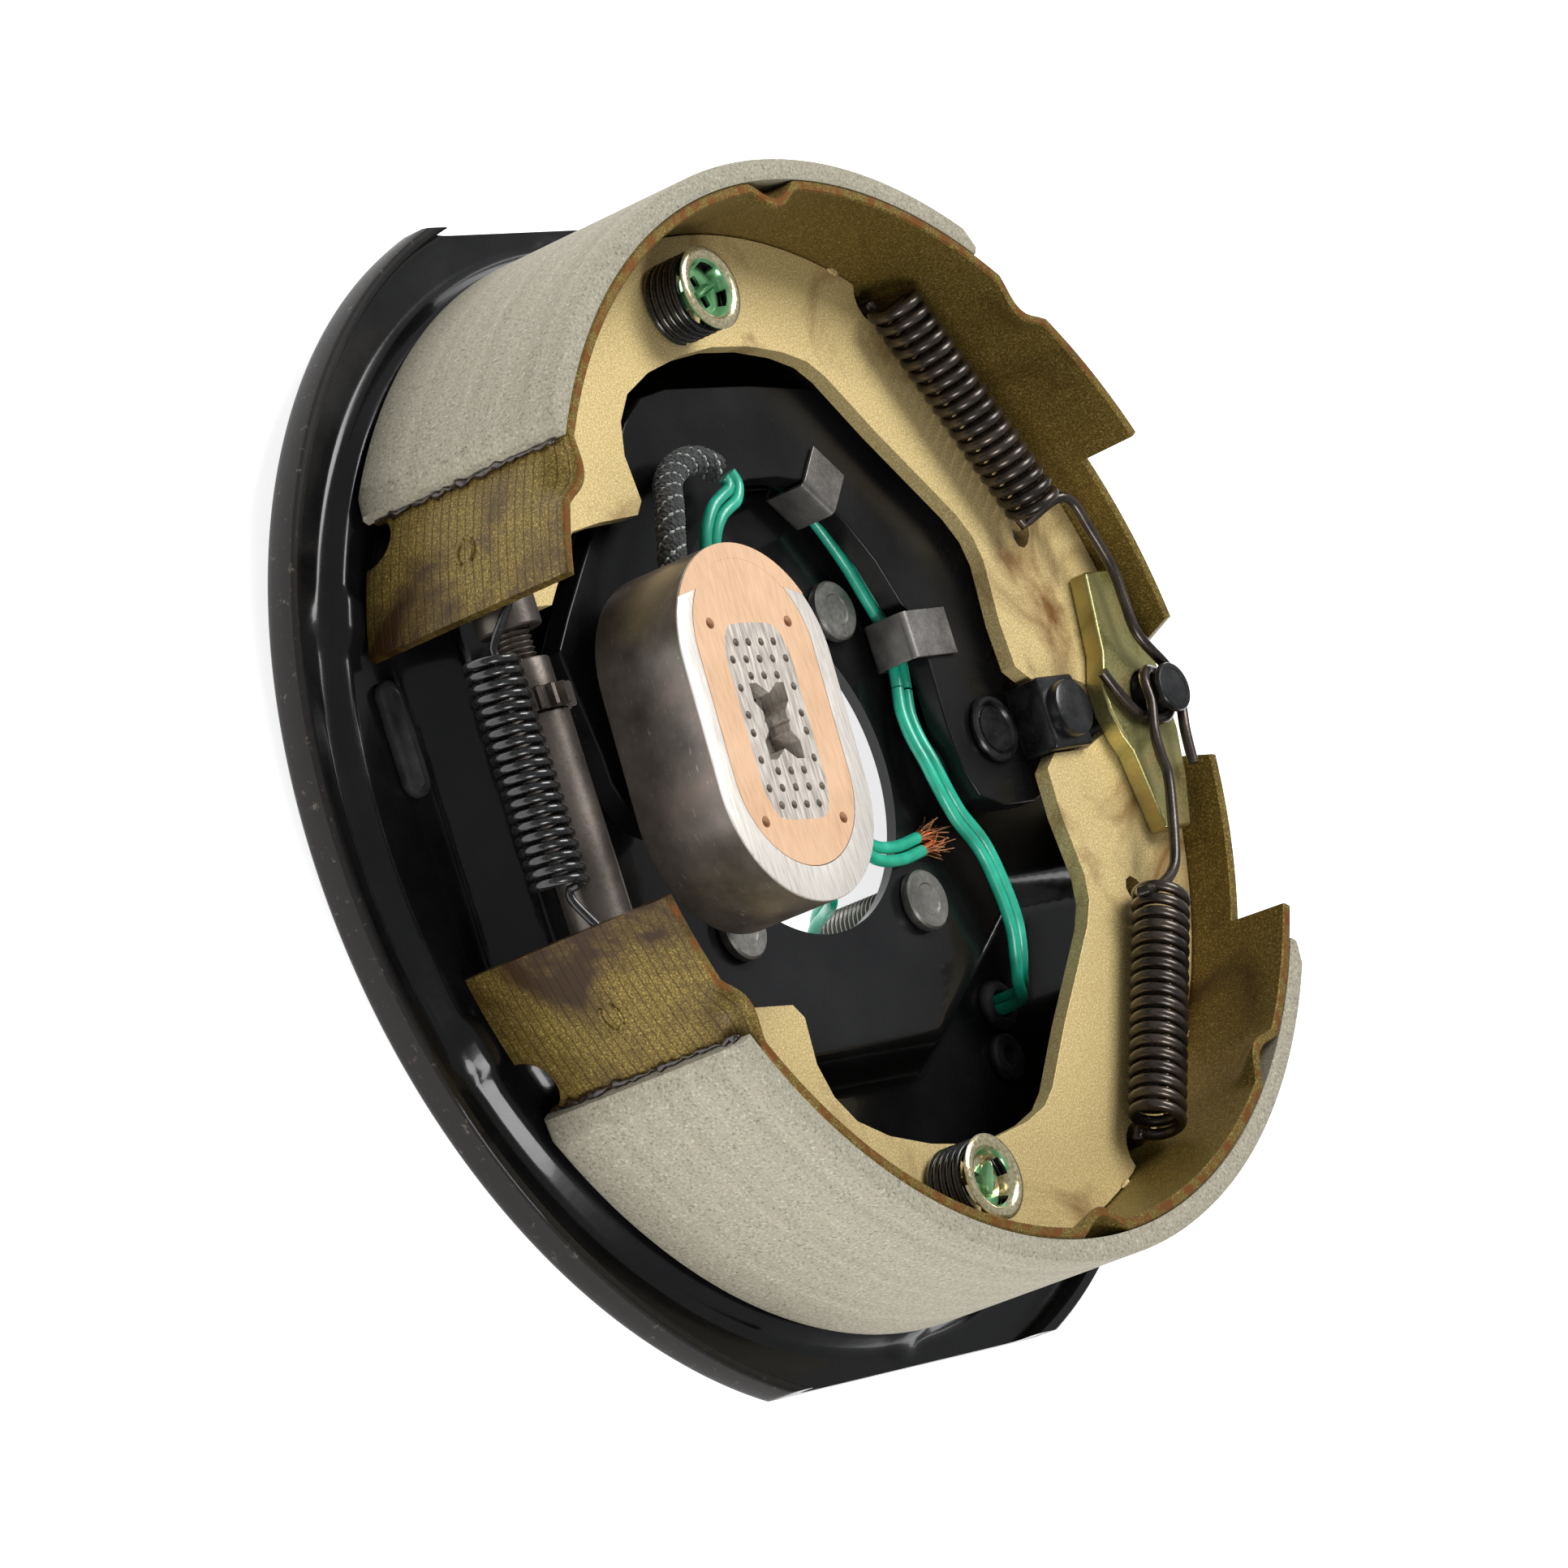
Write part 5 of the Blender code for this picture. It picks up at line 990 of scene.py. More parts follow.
def gold_primer(name, gold_tones, pool, pooled_from, pooled_to, ruled, coat, metallic):
    """The primer of the shoes; pooled_from and pooled_to give how much of the surface is brown."""
    finish, shader = start_finish(
        name, IOR=1.5, Specular_IOR_Level=0.12 + coat, Coat_Weight=coat, Coat_Roughness=0.18)
    place = surface(finish)
    sparkle = noise(finish, place, 2300.0, 4.0, 0.7)
    clouds = noise(finish, place, 30.0, 7.0, 0.62, distortion=0.8)
    axes = coordinates(finish, place)
    ragged = noise(finish, place, 260.0, 4.0)
    high_edge = ranged(finish, axes["Z"], (0.0491, 0.0495))
    broken = ramp(finish, ragged, [(0.44, 0.0), (0.60, 0.9)])
    adjuster_end = ranged(finish, axes["Y"], (-0.089, -0.114), (0.0, 0.30))
    post_end = ranged(finish, axes["Y"], (0.045, 0.098), (0.0, 0.14))
    nearer = calculated(finish, "ADD", adjuster_end, post_end)
    lifted = calculated(finish, "ADD", clouds, nearer)
    pools = ramp(finish, lifted, [(pooled_from, 0.0), (pooled_to, 1.0)])
    gold = ramp(finish, sparkle, [(0.34, gold_tones[0]), (0.52, gold_tones[1]), (0.70, gold_tones[2])])
    stained = mixed(finish, pools, gold, pool)
    edges = calculated(finish, "MULTIPLY", high_edge, broken)
    tone = mixed(finish, edges, stained, "#6b3d14")
    height = sparkle
    if ruled:
        waver = calculated(finish, "MULTIPLY", ragged, 0.0005)
        level = calculated(finish, "ADD", axes["Z"], waver)
        ruler = calculated(finish, "PINGPONG", level, LINE_PITCH / 2)
        line = ranged(finish, ruler, (0.00008, 0.00024), (1.0, 0.0))
        bare_end = ranged(finish, axes["Y"], (-0.086, -0.092))
        ruled_line = calculated(finish, "MULTIPLY", line, bare_end)
        strength = calculated(finish, "MULTIPLY", ruled_line, 0.6)
        tone = mixed(finish, strength, tone, "#2a1a08")
        height = calculated(finish, "SUBTRACT", sparkle, ruled_line)
    metal = ranged(finish, pools, (0, 1), (metallic, metallic / 2))
    gloss = ranged(finish, pools, (0, 1), (0.5, 0.38))
    relief = bumps(finish, height, 0.22, 0.0003)
    feed(finish, shader, Base_Color=tone, Metallic=metal, Roughness=gloss, Normal=relief)
    return finish


# Gold-pigmented baked primer over steel: olive gold, half metallic, a fine sparkle 0.4 mm across,
# sagging brown streaks where it pooled, more of them towards the shoes' ends, and a broken brown line
# along the cut edges. The rolled strip is also ruled with fine dark lines 2.4 mm apart round its bare
# ends. The primer is one, made twice: the strip's copy has darker gold and brown as painted shade,
# and the web's copy has paler gold and brown as painted light.
shaded_table_primer = gold_primer(
    "gold_primer_painted_shade_on_table", ("#4a3d18", "#6a5826", "#b09a58"), "#2f1d07", 0.66, 0.86, True, 0.08, 0.45)
# The web's copy of the same primer: paler gold and brown, a painted light.
lit_web_primer = gold_primer(
    "gold_primer_painted_light_on_web", ("#a8925a", "#c9b27a", "#eedfb2"), "#6e4a20", 0.58, 0.78, False, 0.2,
    0.35)

# Resin-bonded friction lining, moulded and ground on its face: light grey-beige and matt, speckled
# with dark and pale fibre 0.4 mm across, with faint grinding streaks round the drum 1.5 mm apart.
lining_resin, shader = start_finish("ground_friction_lining", Roughness=0.85)
place = surface(lining_resin)
axes = coordinates(lining_resin, place)
height = add_node(lining_resin, "CombineXYZ", {"X": axes["Z"], "Y": 0.0, "Z": 0.0})
streak = noise(lining_resin, height.outputs["Vector"], 260.0, 5.0)
speck = noise(lining_resin, place, 1500.0, 5.0, 0.7)
clouds = noise(lining_resin, place, 55.0, 6.0)
base = ramp(lining_resin, streak, [(0.3, "#7e7966"), (0.7, "#9f9a87")])
cloudy = mixed(lining_resin, clouds, base, "#979180")
dark = ramp(lining_resin, speck, [(0.34, 1.0), (0.46, 0.0)])
dark_half = calculated(lining_resin, "MULTIPLY", dark, 0.75)
specked = mixed(lining_resin, dark_half, cloudy, "#3f3c32")
pale = ramp(lining_resin, speck, [(0.56, 0.0), (0.66, 1.0)])
pale_half = calculated(lining_resin, "MULTIPLY", pale, 0.5)
flecked = mixed(lining_resin, pale_half, specked, "#d3cebf")
relief = bumps(lining_resin, speck, 0.35, 0.0003)
feed(lining_resin, shader, Base_Color=flecked, Normal=relief)

# Brown adhesive squeezed out at the linings' ends: a glossy, near-black lumpy bead.
adhesive, shader = start_finish(
    "cured_brown_adhesive", Roughness=0.3, Coat_Weight=0.5, Coat_Roughness=0.1)
place = surface(adhesive)
lumps = noise(adhesive, place, 500.0, 4.0)
tone = ramp(adhesive, lumps, [(0.35, "#100b07"), (0.75, "#39271a")])
relief = bumps(adhesive, lumps, 0.8, 0.0006)
feed(adhesive, shader, Base_Color=tone, Normal=relief)


for label, flip, start, end, notch, lining_start, lining_end in SHOES:
    body = f"{label}_shoe"
    table = rolled(strip_columns(start, end, notch, 1.0), TABLE_RADIUS - TABLE_SHEET, TABLE_RADIUS, flip)
    # Two curved weld marks near the adjuster's end.
    for turn in range(2):
        ring = []
        for b in [math.radians(200 * turn + 20 * i) for i in range(8)]:
            angle = -65 + 1.6 * math.cos(b) * (1 - 0.2 * turn)
            z = 0.021 + 0.003 * math.sin(b) * (1 - 0.4 * turn)
            ring.append((*polar(TABLE_RADIUS + 0.0001, shoe_angle(angle, flip)), z))
        tube(ring, 0.0005, 8, table)
    finish_piece(f"{label}_rolled_table", table, shaded_table_primer, body, f"{label}_shoe_table", angle=40,
                 slot="gold_coating")

    web = welded_copy(f"{label}_shoe_web")
    finish_piece(f"{label}_blanked_web", web, lit_web_primer, body, f"{label}_shoe_web", bevel=0.0004,
                 slot="gold_coating")

    # Small weld lumps in the corner between the web and the table.
    run = bmesh.new()
    for angle in (start + 17, -21, 24, 49):
        bead = [(*polar(TABLE_RADIUS - TABLE_SHEET - 0.0004, shoe_angle(angle, flip) + s * 0.3),
                 WEB_FRONT_Z + 0.0002) for s in range(-3, 4)]
        tube(bead, WELD_LUMPS, 8, run)
    finish_piece(f"{label}_web_welds", run, lit_web_primer, body, slot="gold_coating")

    inner, outer = TABLE_RADIUS + 0.0002, TABLE_RADIUS + 0.0053
    steps = round((lining_end - lining_start) / 1.0)
    rings = []
    for i in range(steps + 1):
        angle = lining_start + (lining_end - lining_start) * i / steps
        chamfer = 0.0022 * (1 - min(i, steps - i) / 2) if min(i, steps - i) < 2 else 0.0
        top = outer - chamfer
        rows = [(inner, SHOE_BACK_Z), (inner, SHOE_FRONT_Z - 0.0002), (inner + 0.0003, SHOE_FRONT_Z),
                (top - 0.0011, SHOE_FRONT_Z), (top - 0.0003, SHOE_FRONT_Z - 0.0004),
                (top, SHOE_FRONT_Z - 0.0012), (top, SHOE_BACK_Z + 0.0012), (top - 0.0011, SHOE_BACK_Z)]
        rings.append([(*polar(r, shoe_angle(angle, flip)), z) for r, z in rows])
    finish_piece(f"{label}_ground_lining", loft(bmesh.new(), rings), lining_resin, body,
                 f"{label}_lining", angle=40, slot="friction_lining")

    bead_piece = bmesh.new()
    for angle, inset in ((lining_start - 0.25, 0.0025), (lining_end + 0.25, 0.004)):
        line, sizes = [], []
        for i in range(42):
            z = SHOE_BACK_Z + inset + (SHOE_FRONT_Z - SHOE_BACK_Z - 2 * inset) * i / 41
            wobble = chance.uniform(-0.0005, 0.0005)
            spot = shoe_angle(angle, flip) + math.degrees(wobble / TABLE_RADIUS)
            line.append((*polar(TABLE_RADIUS + 0.0006, spot), z))
            lump = 0.0003 + 0.0012 * chance.random() ** 3
            sizes.append(lump if 0 < i < 41 else 0.0003)
        tube(line, sizes, 8, bead_piece)
    finish_piece(f"{label}_adhesive_bead", bead_piece, adhesive, body, angle=80, slot="friction_lining")


# SHOE GUIDE PLATE
# A thick blanked bar over the webs at the anchor, zinc plated and yellow chromated: greenish gold
# with an iridescent cloudiness, and rounded by tumbling.
chromate = cloudy_and_grained(
    "yellow_chromated_zinc", (90.0, 4.0, 0.5, 0.8), (1300.0, 4.0),
    [(0.3, "#7f7a45"), (0.5, "#a8a26c"), (0.7, "#b3a26a")], [(0.3, 0.25), (0.8, 0.45)], (0.12, 0.0003),
    Metallic=0.85)
finish_piece("tumbled_guide_bar", welded_copy("shoe_guide_plate"), chromate, "backing",
             "shoe_guide_plate", bevel=0.0008, slot="yellow_zinc")


# HOLD-DOWN PINS, SPRINGS AND CUPS
# A pin comes through the plate and the web, and its flattened head is turned across the slot of a
# pressed cup that holds a black coil spring down. The cups are zinc plated and dabbed with green
# marking paint, the primary one all over and the secondary one in patches.
HOLD_DOWN_X = 0.1018
HOLD_DOWN_Y = -0.016
CUP_FRONT_Z = 0.036
CUP_BOTTOM_Z = 0.0315
CUP_SHEET = 0.0008
CUP_SLOT_REACH = 0.0038
CUP_SLOT_HALF = 0.0012
HOLD_DOWN_WIRE = 0.0018
HOLD_DOWN_INSIDE = 0.0074


def dabbed_zinc(name, bare_from, bare_to):
    """Zinc plate with green paint; the two numbers say how much of the cone the paint has missed."""
    finish, shader = start_finish(name, Coat_Weight=0.4, Coat_Roughness=0.06)
    place = surface(finish)
    axes = coordinates(finish, place)
    cone = ranged(finish, axes["Z"], (CUP_FRONT_Z - 0.0009, CUP_FRONT_Z - 0.0003), (1.0, 0.0))
    dabs = noise(finish, place, 150.0, 2.0, distortion=0.5)
    patch = ramp(finish, dabs, [(bare_from, 0.0), (bare_to, 1.0)])
    cover = calculated(finish, "MULTIPLY", patch, cone)
    grain = noise(finish, place, 1200.0, 4.0)
    zinc = ramp(finish, grain, [(0.3, "#b3a57a"), (0.7, "#e9dfba")])
    paint = ramp(finish, dabs, [(0.35, "#2c6b3a"), (0.7, "#7fb683")])
    tone = mixed(finish, cover, zinc, paint)
    metal = ranged(finish, cover, (0, 1), (0.85, 0.3))
    gloss = ramp(finish, grain, [(0.3, 0.14), (0.8, 0.28)])
    feed(finish, shader, Base_Color=tone, Metallic=metal, Roughness=gloss)
    return finish


# Bright zinc with a cream tint, and glossy green marking paint that has run into the cup's cone.
green_cup = dabbed_zinc("zinc_under_green_paint", 0.24, 0.34)
cream_cup = dabbed_zinc("zinc_with_green_dabs", 0.50, 0.56)

# Black oxide spring wire under oil: glossy black with faint drawing lines.
black_oxide = cloudy_and_grained(
    "black_oxide_spring_wire", (1400.0, 4.0), (1400.0, 4.0), [(0.35, "#101011"), (0.75, "#2c2b2b")],
    [(0.3, 0.2), (0.8, 0.38)], Metallic=0.5, Coat_Weight=0.5, Coat_Roughness=0.12)


def coil(start, end, radius, turns, steps, start_angle):
    """Points of a helix about the line from start to end, its first turn at the given angle."""
    start, end = Vector(start), Vector(end)
    axis = (end - start).normalized()
    side = axis.cross(Vector((0, 0, 1))).normalized() if abs(axis.z) < 0.9 else Vector((1, 0, 0))
    up = side.cross(axis)
    points = []
    total = round(turns * steps)
    for i in range(total + 1):
        angle = math.radians(start_angle) + 2 * math.pi * i / steps
        out = side * math.cos(angle) + up * math.sin(angle)
        points.append(start.lerp(end, i / total) + out * radius)
    return points


def pressed_cup(count=80):
    """A flanged cup with four window slots in its cone and a slot for the pin's head in its floor."""
    profile = raised(CUP_BOTTOM_Z, [
        (CUP_SLOT_REACH, 0.0), (0.0060, 0.0), (0.0063, 0.0004), (0.0066, 0.0012)])
    profile += raised(CUP_FRONT_Z, [
        (0.0072, -0.0020), (0.0076, -0.0015), (0.0092, -0.0012), (0.0096, -0.0010), (0.0097, -0.0006),
        (0.0094, -0.0003), (0.0082, 0.0), (0.0070, -0.0004), (0.0062, -0.0014)])
    profile += raised(CUP_BOTTOM_Z, [(0.0057, 0.0018), (0.0053, CUP_SHEET), (CUP_SLOT_REACH, CUP_SHEET)])
    bm = bmesh.new()
    rings = []
    for i in range(count):
        angle = 360 * i / count
        ring = []
        for k, (r, z) in enumerate(profile):
            if k in (0, len(profile) - 1):
                rise = abs(polar(1, angle)[1])
                r = max(min(CUP_SLOT_REACH, CUP_SLOT_HALF / max(rise, 0.05)), CUP_SLOT_HALF)
            ring.append(bm.verts.new((*polar(r, angle), z)))
        rings.append(ring)
    windows = {(i + round(count * q / 4) + round(count / 8)) % count
               for q in range(4) for i in range(-4, 5)}
    last = len(profile)
    for i in range(count):
        low, high = rings[i], rings[(i + 1) % count]
        cut = i in windows
        for k in range(last):
            k2 = (k + 1) % last
            if cut and k in (2, 3, 12, 13):
                continue
            bm.faces.new((low[k], low[k2], high[k2], high[k]))
        if cut:
            bm.faces.new((low[2], low[14], high[14], high[2]))
            bm.faces.new((low[4], high[4], high[12], low[12]))
    for i in sorted(windows):
        before, after = rings[i], rings[(i + 1) % count]
        if (i - 1) % count not in windows:
            bm.faces.new([before[k] for k in (2, 3, 4, 12, 13, 14)])
        if (i + 1) % count not in windows:
            bm.faces.new([after[k] for k in (14, 13, 12, 4, 3, 2)])
    return bm


for label, side, cup_finish, turn in (("primary", -1, green_cup, 20), ("secondary", 1, cream_cup, 65)):
    x, y = side * HOLD_DOWN_X, HOLD_DOWN_Y
    cup = pressed_cup()
    spin = Matrix.Translation((x, y, 0)) @ Matrix.Rotation(math.radians(turn), 4, "Z")
    bmesh.ops.transform(cup, matrix=spin, verts=cup.verts)
    finish_piece(f"{label}_pressed_cup", cup, cup_finish, f"{label}_cup", f"{label}_hold_down_cup",
                 slot="cup_zinc")

    under = LEDGE_Z - SHEET
    head = CUP_BOTTOM_Z + CUP_SHEET + GAP
    levels = [(0.0044, 0.0044, under - 0.0019), (0.005, 0.005, under - 0.0014),
              (0.005, 0.005, under - GAP), (0.0024, 0.0024, under - 0.0002),
              (0.0024, 0.0024, head - 0.003), (0.0024, 0.0013, head - 0.0006), (0.0042, 0.0013, head),
              (0.0043, 0.0011, head + 0.0012), (0.0040, 0.0007, head + 0.0020),
              (0.0030, 0.0003, head + 0.0024)]
    rings = [[(wide * c, thin * s, z) for c, s in (polar(1, 15 * i) for i in range(24))]
             for wide, thin, z in levels]
    pin = loft(bmesh.new(), rings)
    bmesh.ops.transform(pin, matrix=spin @ Matrix.Rotation(math.radians(90), 4, "Z"), verts=pin.verts)
    finish_piece(f"{label}_flattened_pin", pin, cup_finish, "backing", f"{label}_hold_down_pin",
                 slot="cup_zinc")

    low = WEB_FRONT_Z + GAP + HOLD_DOWN_WIRE / 2
    high = CUP_FRONT_Z - 0.0019 - HOLD_DOWN_WIRE / 2
    radius = HOLD_DOWN_INSIDE + GAP + HOLD_DOWN_WIRE / 2
    path = coil((x, y, low), (x, y, high), radius, 5, 30, 0)
    finish_piece(f"{label}_hold_down_coil", tube(path, HOLD_DOWN_WIRE / 2, 12), black_oxide, "backing",
                 f"{label}_hold_down_spring", slot="spring_steel")


# RETURN SPRINGS
# Two close-wound springs of 2.6 mm wire pull the shoes' tops to the anchor. Each hooks through a
# notch at the shoe's table and ends in a long tail bent round the post's neck under its head.
RETURN_WIRE = 0.0026
RETURN_OUTSIDE = 0.0135
RETURN_TURNS = 18
RETURN_COIL_Z = WEB_FRONT_Z + GAP + RETURN_OUTSIDE / 2 + 0.001
HOOK_LOW_Z = GUIDE_FRONT_Z + GAP + RETURN_WIRE / 2
HOOK_HIGH_Z = HOOK_LOW_Z + RETURN_WIRE + GAP

# Oil-tempered wire, stress relieved: brown-black with a soft straw sheen along the top of each turn.
tempered = cloudy_and_grained(
    "oil_tempered_spring_wire", (120.0, 4.0), (1300.0, 4.0), [(0.35, "#2c2723"), (0.7, "#50463d")],
    [(0.3, 0.24), (0.8, 0.42)], (0.1, 0.0002), Metallic=0.75, Coat_Weight=0.3, Coat_Roughness=0.2)


def round_the_post(degrees, z, extra=0.0):
    """A point of a hook's path round the post's neck."""
    return (*polar(0.004 + 0.0006 + RETURN_WIRE / 2 + extra, degrees, ANCHOR), z)


def wound_return_spring(side, tail):
    """The hook at the shoe, the close-wound coil and the tail to the post, in one wire."""
    outer = Vector((side * 0.0974, 0.0556, RETURN_COIL_Z))
    inner = Vector((side * 0.0460, 0.0855, RETURN_COIL_Z))
    turns = coil(outer, inner, (RETURN_OUTSIDE - RETURN_WIRE) / 2, RETURN_TURNS, 28, -90)
    along = (outer - inner).normalized()
    hook = [(side * 0.0992, 0.0575, WEB_Z - 0.003), (side * 0.0992, 0.0575, WEB_Z + 0.001),
            (side * 0.0992, 0.0575, WEB_FRONT_Z + 0.0005), tuple(turns[0] + along * 0.0014)]
    path = smooth_path(hook, 0.0012) + turns + smooth_path([turns[-1] - along * 0.002, *tail], 0.0016)
    return tube(path, RETURN_WIRE / 2, 14)


primary_tail = [(-0.0479, 0.0925, HOOK_HIGH_Z - 0.001)]
primary_tail += [(x, y, HOOK_HIGH_Z) for x, y in (
    (-0.0465, 0.0972), (-0.0404, 0.1003), (-0.0302, 0.1046), (-0.0222, 0.1052), (-0.0140, 0.1062))]
primary_tail += [
    round_the_post(150, HOOK_HIGH_Z, 0.0012), round_the_post(115, HOOK_HIGH_Z),
    round_the_post(85, HOOK_HIGH_Z), round_the_post(50, HOOK_HIGH_Z, 0.0006),
    (0.0100, 0.1128, HOOK_HIGH_Z), (0.0178, 0.1118, HOOK_HIGH_Z)]
secondary_tail = [(0.0450, 0.0770, HOOK_HIGH_Z - 0.001)]
secondary_tail += [(x, y, HOOK_HIGH_Z) for x, y in (
    (0.0445, 0.0834), (0.0413, 0.0903), (0.0358, 0.0940), (0.0207, 0.1000), (0.0148, 0.1000),
    (0.0090, 0.1005))]
secondary_tail += [
    round_the_post(290, HOOK_HIGH_Z, 0.0010), round_the_post(262, HOOK_HIGH_Z - 0.0004),
    round_the_post(232, HOOK_HIGH_Z - 0.0012), round_the_post(200, HOOK_LOW_Z + 0.0010)]
secondary_tail += [round_the_post(degrees, HOOK_LOW_Z) for degrees in (165, 130, 95, 60, 25, -10)]
secondary_tail += [round_the_post(-38, HOOK_LOW_Z, 0.0003), (0.0040, 0.1010, HOOK_LOW_Z),
                   (-0.0010, 0.0960, HOOK_LOW_Z), (-0.0068, 0.0920, HOOK_LOW_Z)]
for label, side, tail in (("primary", -1, primary_tail), ("secondary", 1, secondary_tail)):
    finish_piece(f"{label}_wound_return_spring", wound_return_spring(side, tail), tempered,
                 f"{label}_shoe", f"{label}_return_spring", slot="spring_steel")


# ADJUSTER AND ITS SPRING
# A socket, a star-wheeled screw and a forked nut stand between the shoes' lower ends; turning the
# star through the plate's slot spreads the shoes. A long black spring keeps the ends seated.
ADJUSTER_Y = -0.1024
ADJUSTER_Z = 0.021
SLEEVE_RADIUS = 0.007
HALF_LENGTH = 0.045
STAR_X = -0.0195
STAR_THICKNESS = 0.005
STAR_RADIUS = 0.009
STAR_TEETH = 16
TOOTH_DEPTH = 0.0019
ADJUSTER_WIRE = 0.002
ADJUSTER_COIL = 0.0128


def turned_x(profile, count, bm=None):
    """A turned solid about the adjuster's axis; its profile runs along X as (radius, x)."""
    rings = [[(x, *polar(r, 360 * i / count, (ADJUSTER_Y, ADJUSTER_Z))) for i in range(count)]
             for r, x in profile]
    return loft(bm or bmesh.new(), rings)


def slotted_end(name, node, body, end_x, back_x, bore_to, open_x, bore):
    """A turned end piece with a bore at one end and a fork slot for the web at the other."""
    out = 1 if end_x > back_x else -1
    profile = [(0.0, bore_to), (bore, bore_to), (bore, open_x + out * 0.0003), (bore + 0.0004, open_x),
               (SLEEVE_RADIUS - 0.0004, open_x), (SLEEVE_RADIUS, open_x + out * 0.0004),
               (SLEEVE_RADIUS, end_x - out * 0.0005), (SLEEVE_RADIUS - 0.0005, end_x), (0.0, end_x)]
    bm = turned_x(profile, 56)
    piece = finish_piece(name, bm, phosphated, body, node, slot="black_steel")
    slot_half = 0.0023
    near, far = sorted((back_x, end_x + out * 0.01))
    cutter_bm = slab([(near, ADJUSTER_Y - 0.01), (far, ADJUSTER_Y - 0.01), (far, ADJUSTER_Y + 0.01),
                      (near, ADJUSTER_Y + 0.01)], ADJUSTER_Z - slot_half, ADJUSTER_Z + slot_half)
    bmesh.ops.recalc_face_normals(cutter_bm, faces=cutter_bm.faces)
    cutter_mesh = bpy.data.meshes.new("fork_saw")
    cutter_bm.to_mesh(cutter_mesh)
    cutter_bm.free()
    cutter = bpy.data.objects.new("fork_saw", cutter_mesh)
    bpy.context.scene.collection.objects.link(cutter)
    step = piece.modifiers.new("fork_slot", "BOOLEAN")
    step.object = cutter
    bpy.context.view_layer.update()
    sawn = bpy.data.meshes.new_from_object(piece.evaluated_get(bpy.context.evaluated_depsgraph_get()))
    piece.modifiers.clear()
    piece.data = sawn
    bpy.data.objects.remove(cutter)


# Zinc-phosphated adjuster steel, oiled: dark grey and satin, in soft clouds.
phosphated = cloudy_and_grained(
    "phosphated_adjuster_steel", (90.0, 5.0), (1300.0, 5.0), [(0.3, "#443f3b"), (0.7, "#6c645d")],
    [(0.3, 0.32), (0.8, 0.48)], (0.12, 0.0002), Metallic=0.8)

star_right = STAR_X + STAR_THICKNESS
slotted_end("sawn_adjuster_nut", "adjuster_pivot_nut", "adjuster_nut", -HALF_LENGTH, -0.0397, -0.0383,
            -0.033, 0.0043)
slotted_end("sawn_adjuster_socket", "adjuster_socket", "secondary_shoe", HALF_LENGTH, 0.0397, 0.0215,
            star_right + GAP, 0.0038)
screw = bmesh.new()
profile = [(0.0, -0.0371), (0.0032, -0.0371)]
x = -0.0367
while x < STAR_X - 0.0068:
    profile += [(0.0033, x), (0.004, x + 0.0005), (0.004, x + 0.0007)]
    x += 0.00125
profile += [(0.0036, STAR_X - 0.0065), (0.0060, STAR_X - 0.0065), (0.0062, STAR_X - 0.0062),
            (0.0062, STAR_X), (0.0, STAR_X)]
turned_x(profile, 40, screw)
rings = []
soft = 0.0003
for x, grow in ((STAR_X, -soft), (STAR_X + soft, 0.0), (star_right - soft, 0.0), (star_right, -soft)):
    ring = []
    for i in range(STAR_TEETH * 8):
        share = (i % 8) / 8
        tooth = 0.0 if share < 0.45 else (1.0 if 0.55 <= share < 0.92 else 0.5)
        radius = STAR_RADIUS + grow - TOOTH_DEPTH * (1 - tooth)
        ring.append((x, *polar(radius, 360 * i / (STAR_TEETH * 8), (ADJUSTER_Y, ADJUSTER_Z))))
    rings.append(ring)
loft(screw, rings)
turned_x([(0.0035, star_right - 0.0001), (0.0035, star_right + 0.0336), (0.0031, star_right + 0.034)],
         40, screw)
finish_piece("star_wheel_screw", screw, phosphated, "adjuster_screw", "adjuster_screw",
             slot="black_steel")

reach = STAR_RADIUS + ADJUSTER_COIL / 2 + GAP
away = math.radians(164)
spring_y = ADJUSTER_Y + reach * math.cos(away)
spring_z = ADJUSTER_Z + reach * math.sin(away)
turns = coil((-0.0270, spring_y, spring_z), (0.0235, spring_y, spring_z),
             (ADJUSTER_COIL - ADJUSTER_WIRE) / 2, 20, 26, 200)


def adjuster_hook(side, start):
    """A hook from the coil's end over the web's edge and into its hole."""
    over = WEB_FRONT_Z + GAP + ADJUSTER_WIRE / 2
    return [start, (start[0] + side * 0.003, start[1], start[2]),
            (side * 0.0385, -0.1095, over + 0.0046), (side * 0.0458, -0.1064, over + 0.0050),
            (side * 0.0488, -0.1036, over - 0.0005), (side * 0.0488, -0.1036, WEB_Z - 0.0015)]


left = list(reversed(smooth_path(adjuster_hook(-1, tuple(turns[0])), 0.0012)))
right = smooth_path(adjuster_hook(1, tuple(turns[-1])), 0.0012)
finish_piece("wound_adjuster_spring", tube(left[:-1] + turns + right[1:], ADJUSTER_WIRE / 2, 12),
             black_oxide, "secondary_shoe", "adjuster_spring", slot="spring_steel")


# WIRE CLIPS
# Two clips of 0.9 mm sheet, folded over the lever's inner edge and round the pair of leads.
CLIP_SHEET = 0.0009
CLIP_TAB = 0.0100
CLIP_LOW_Z = 0.0047
CLIP_BEND = 0.0012

# Bare grey spring sheet, tumbled: satin mid grey with fine marks and a brownish tint in places.
tumbled_sheet = cloudy_and_grained(
    "tumbled_spring_sheet", (140.0, 5.0), (1600.0, 4.0), [(0.3, "#5a5754"), (0.7, "#8a8783")],
    [(0.3, 0.34), (0.8, 0.55)], (0.12, 0.0002), Metallic=0.85)


def folded(line, thickness):
    """Outline of a sheet folded along a centre line."""
    line = [Vector(p) for p in line]
    left, right = [], []
    for k, point in enumerate(line):
        run = (line[min(k + 1, len(line) - 1)] - line[max(k - 1, 0)]).normalized()
        off = Vector((-run.y, run.x)) * thickness / 2
        left.append(point + off)
        right.append(point - off)
    return left + list(reversed(right))


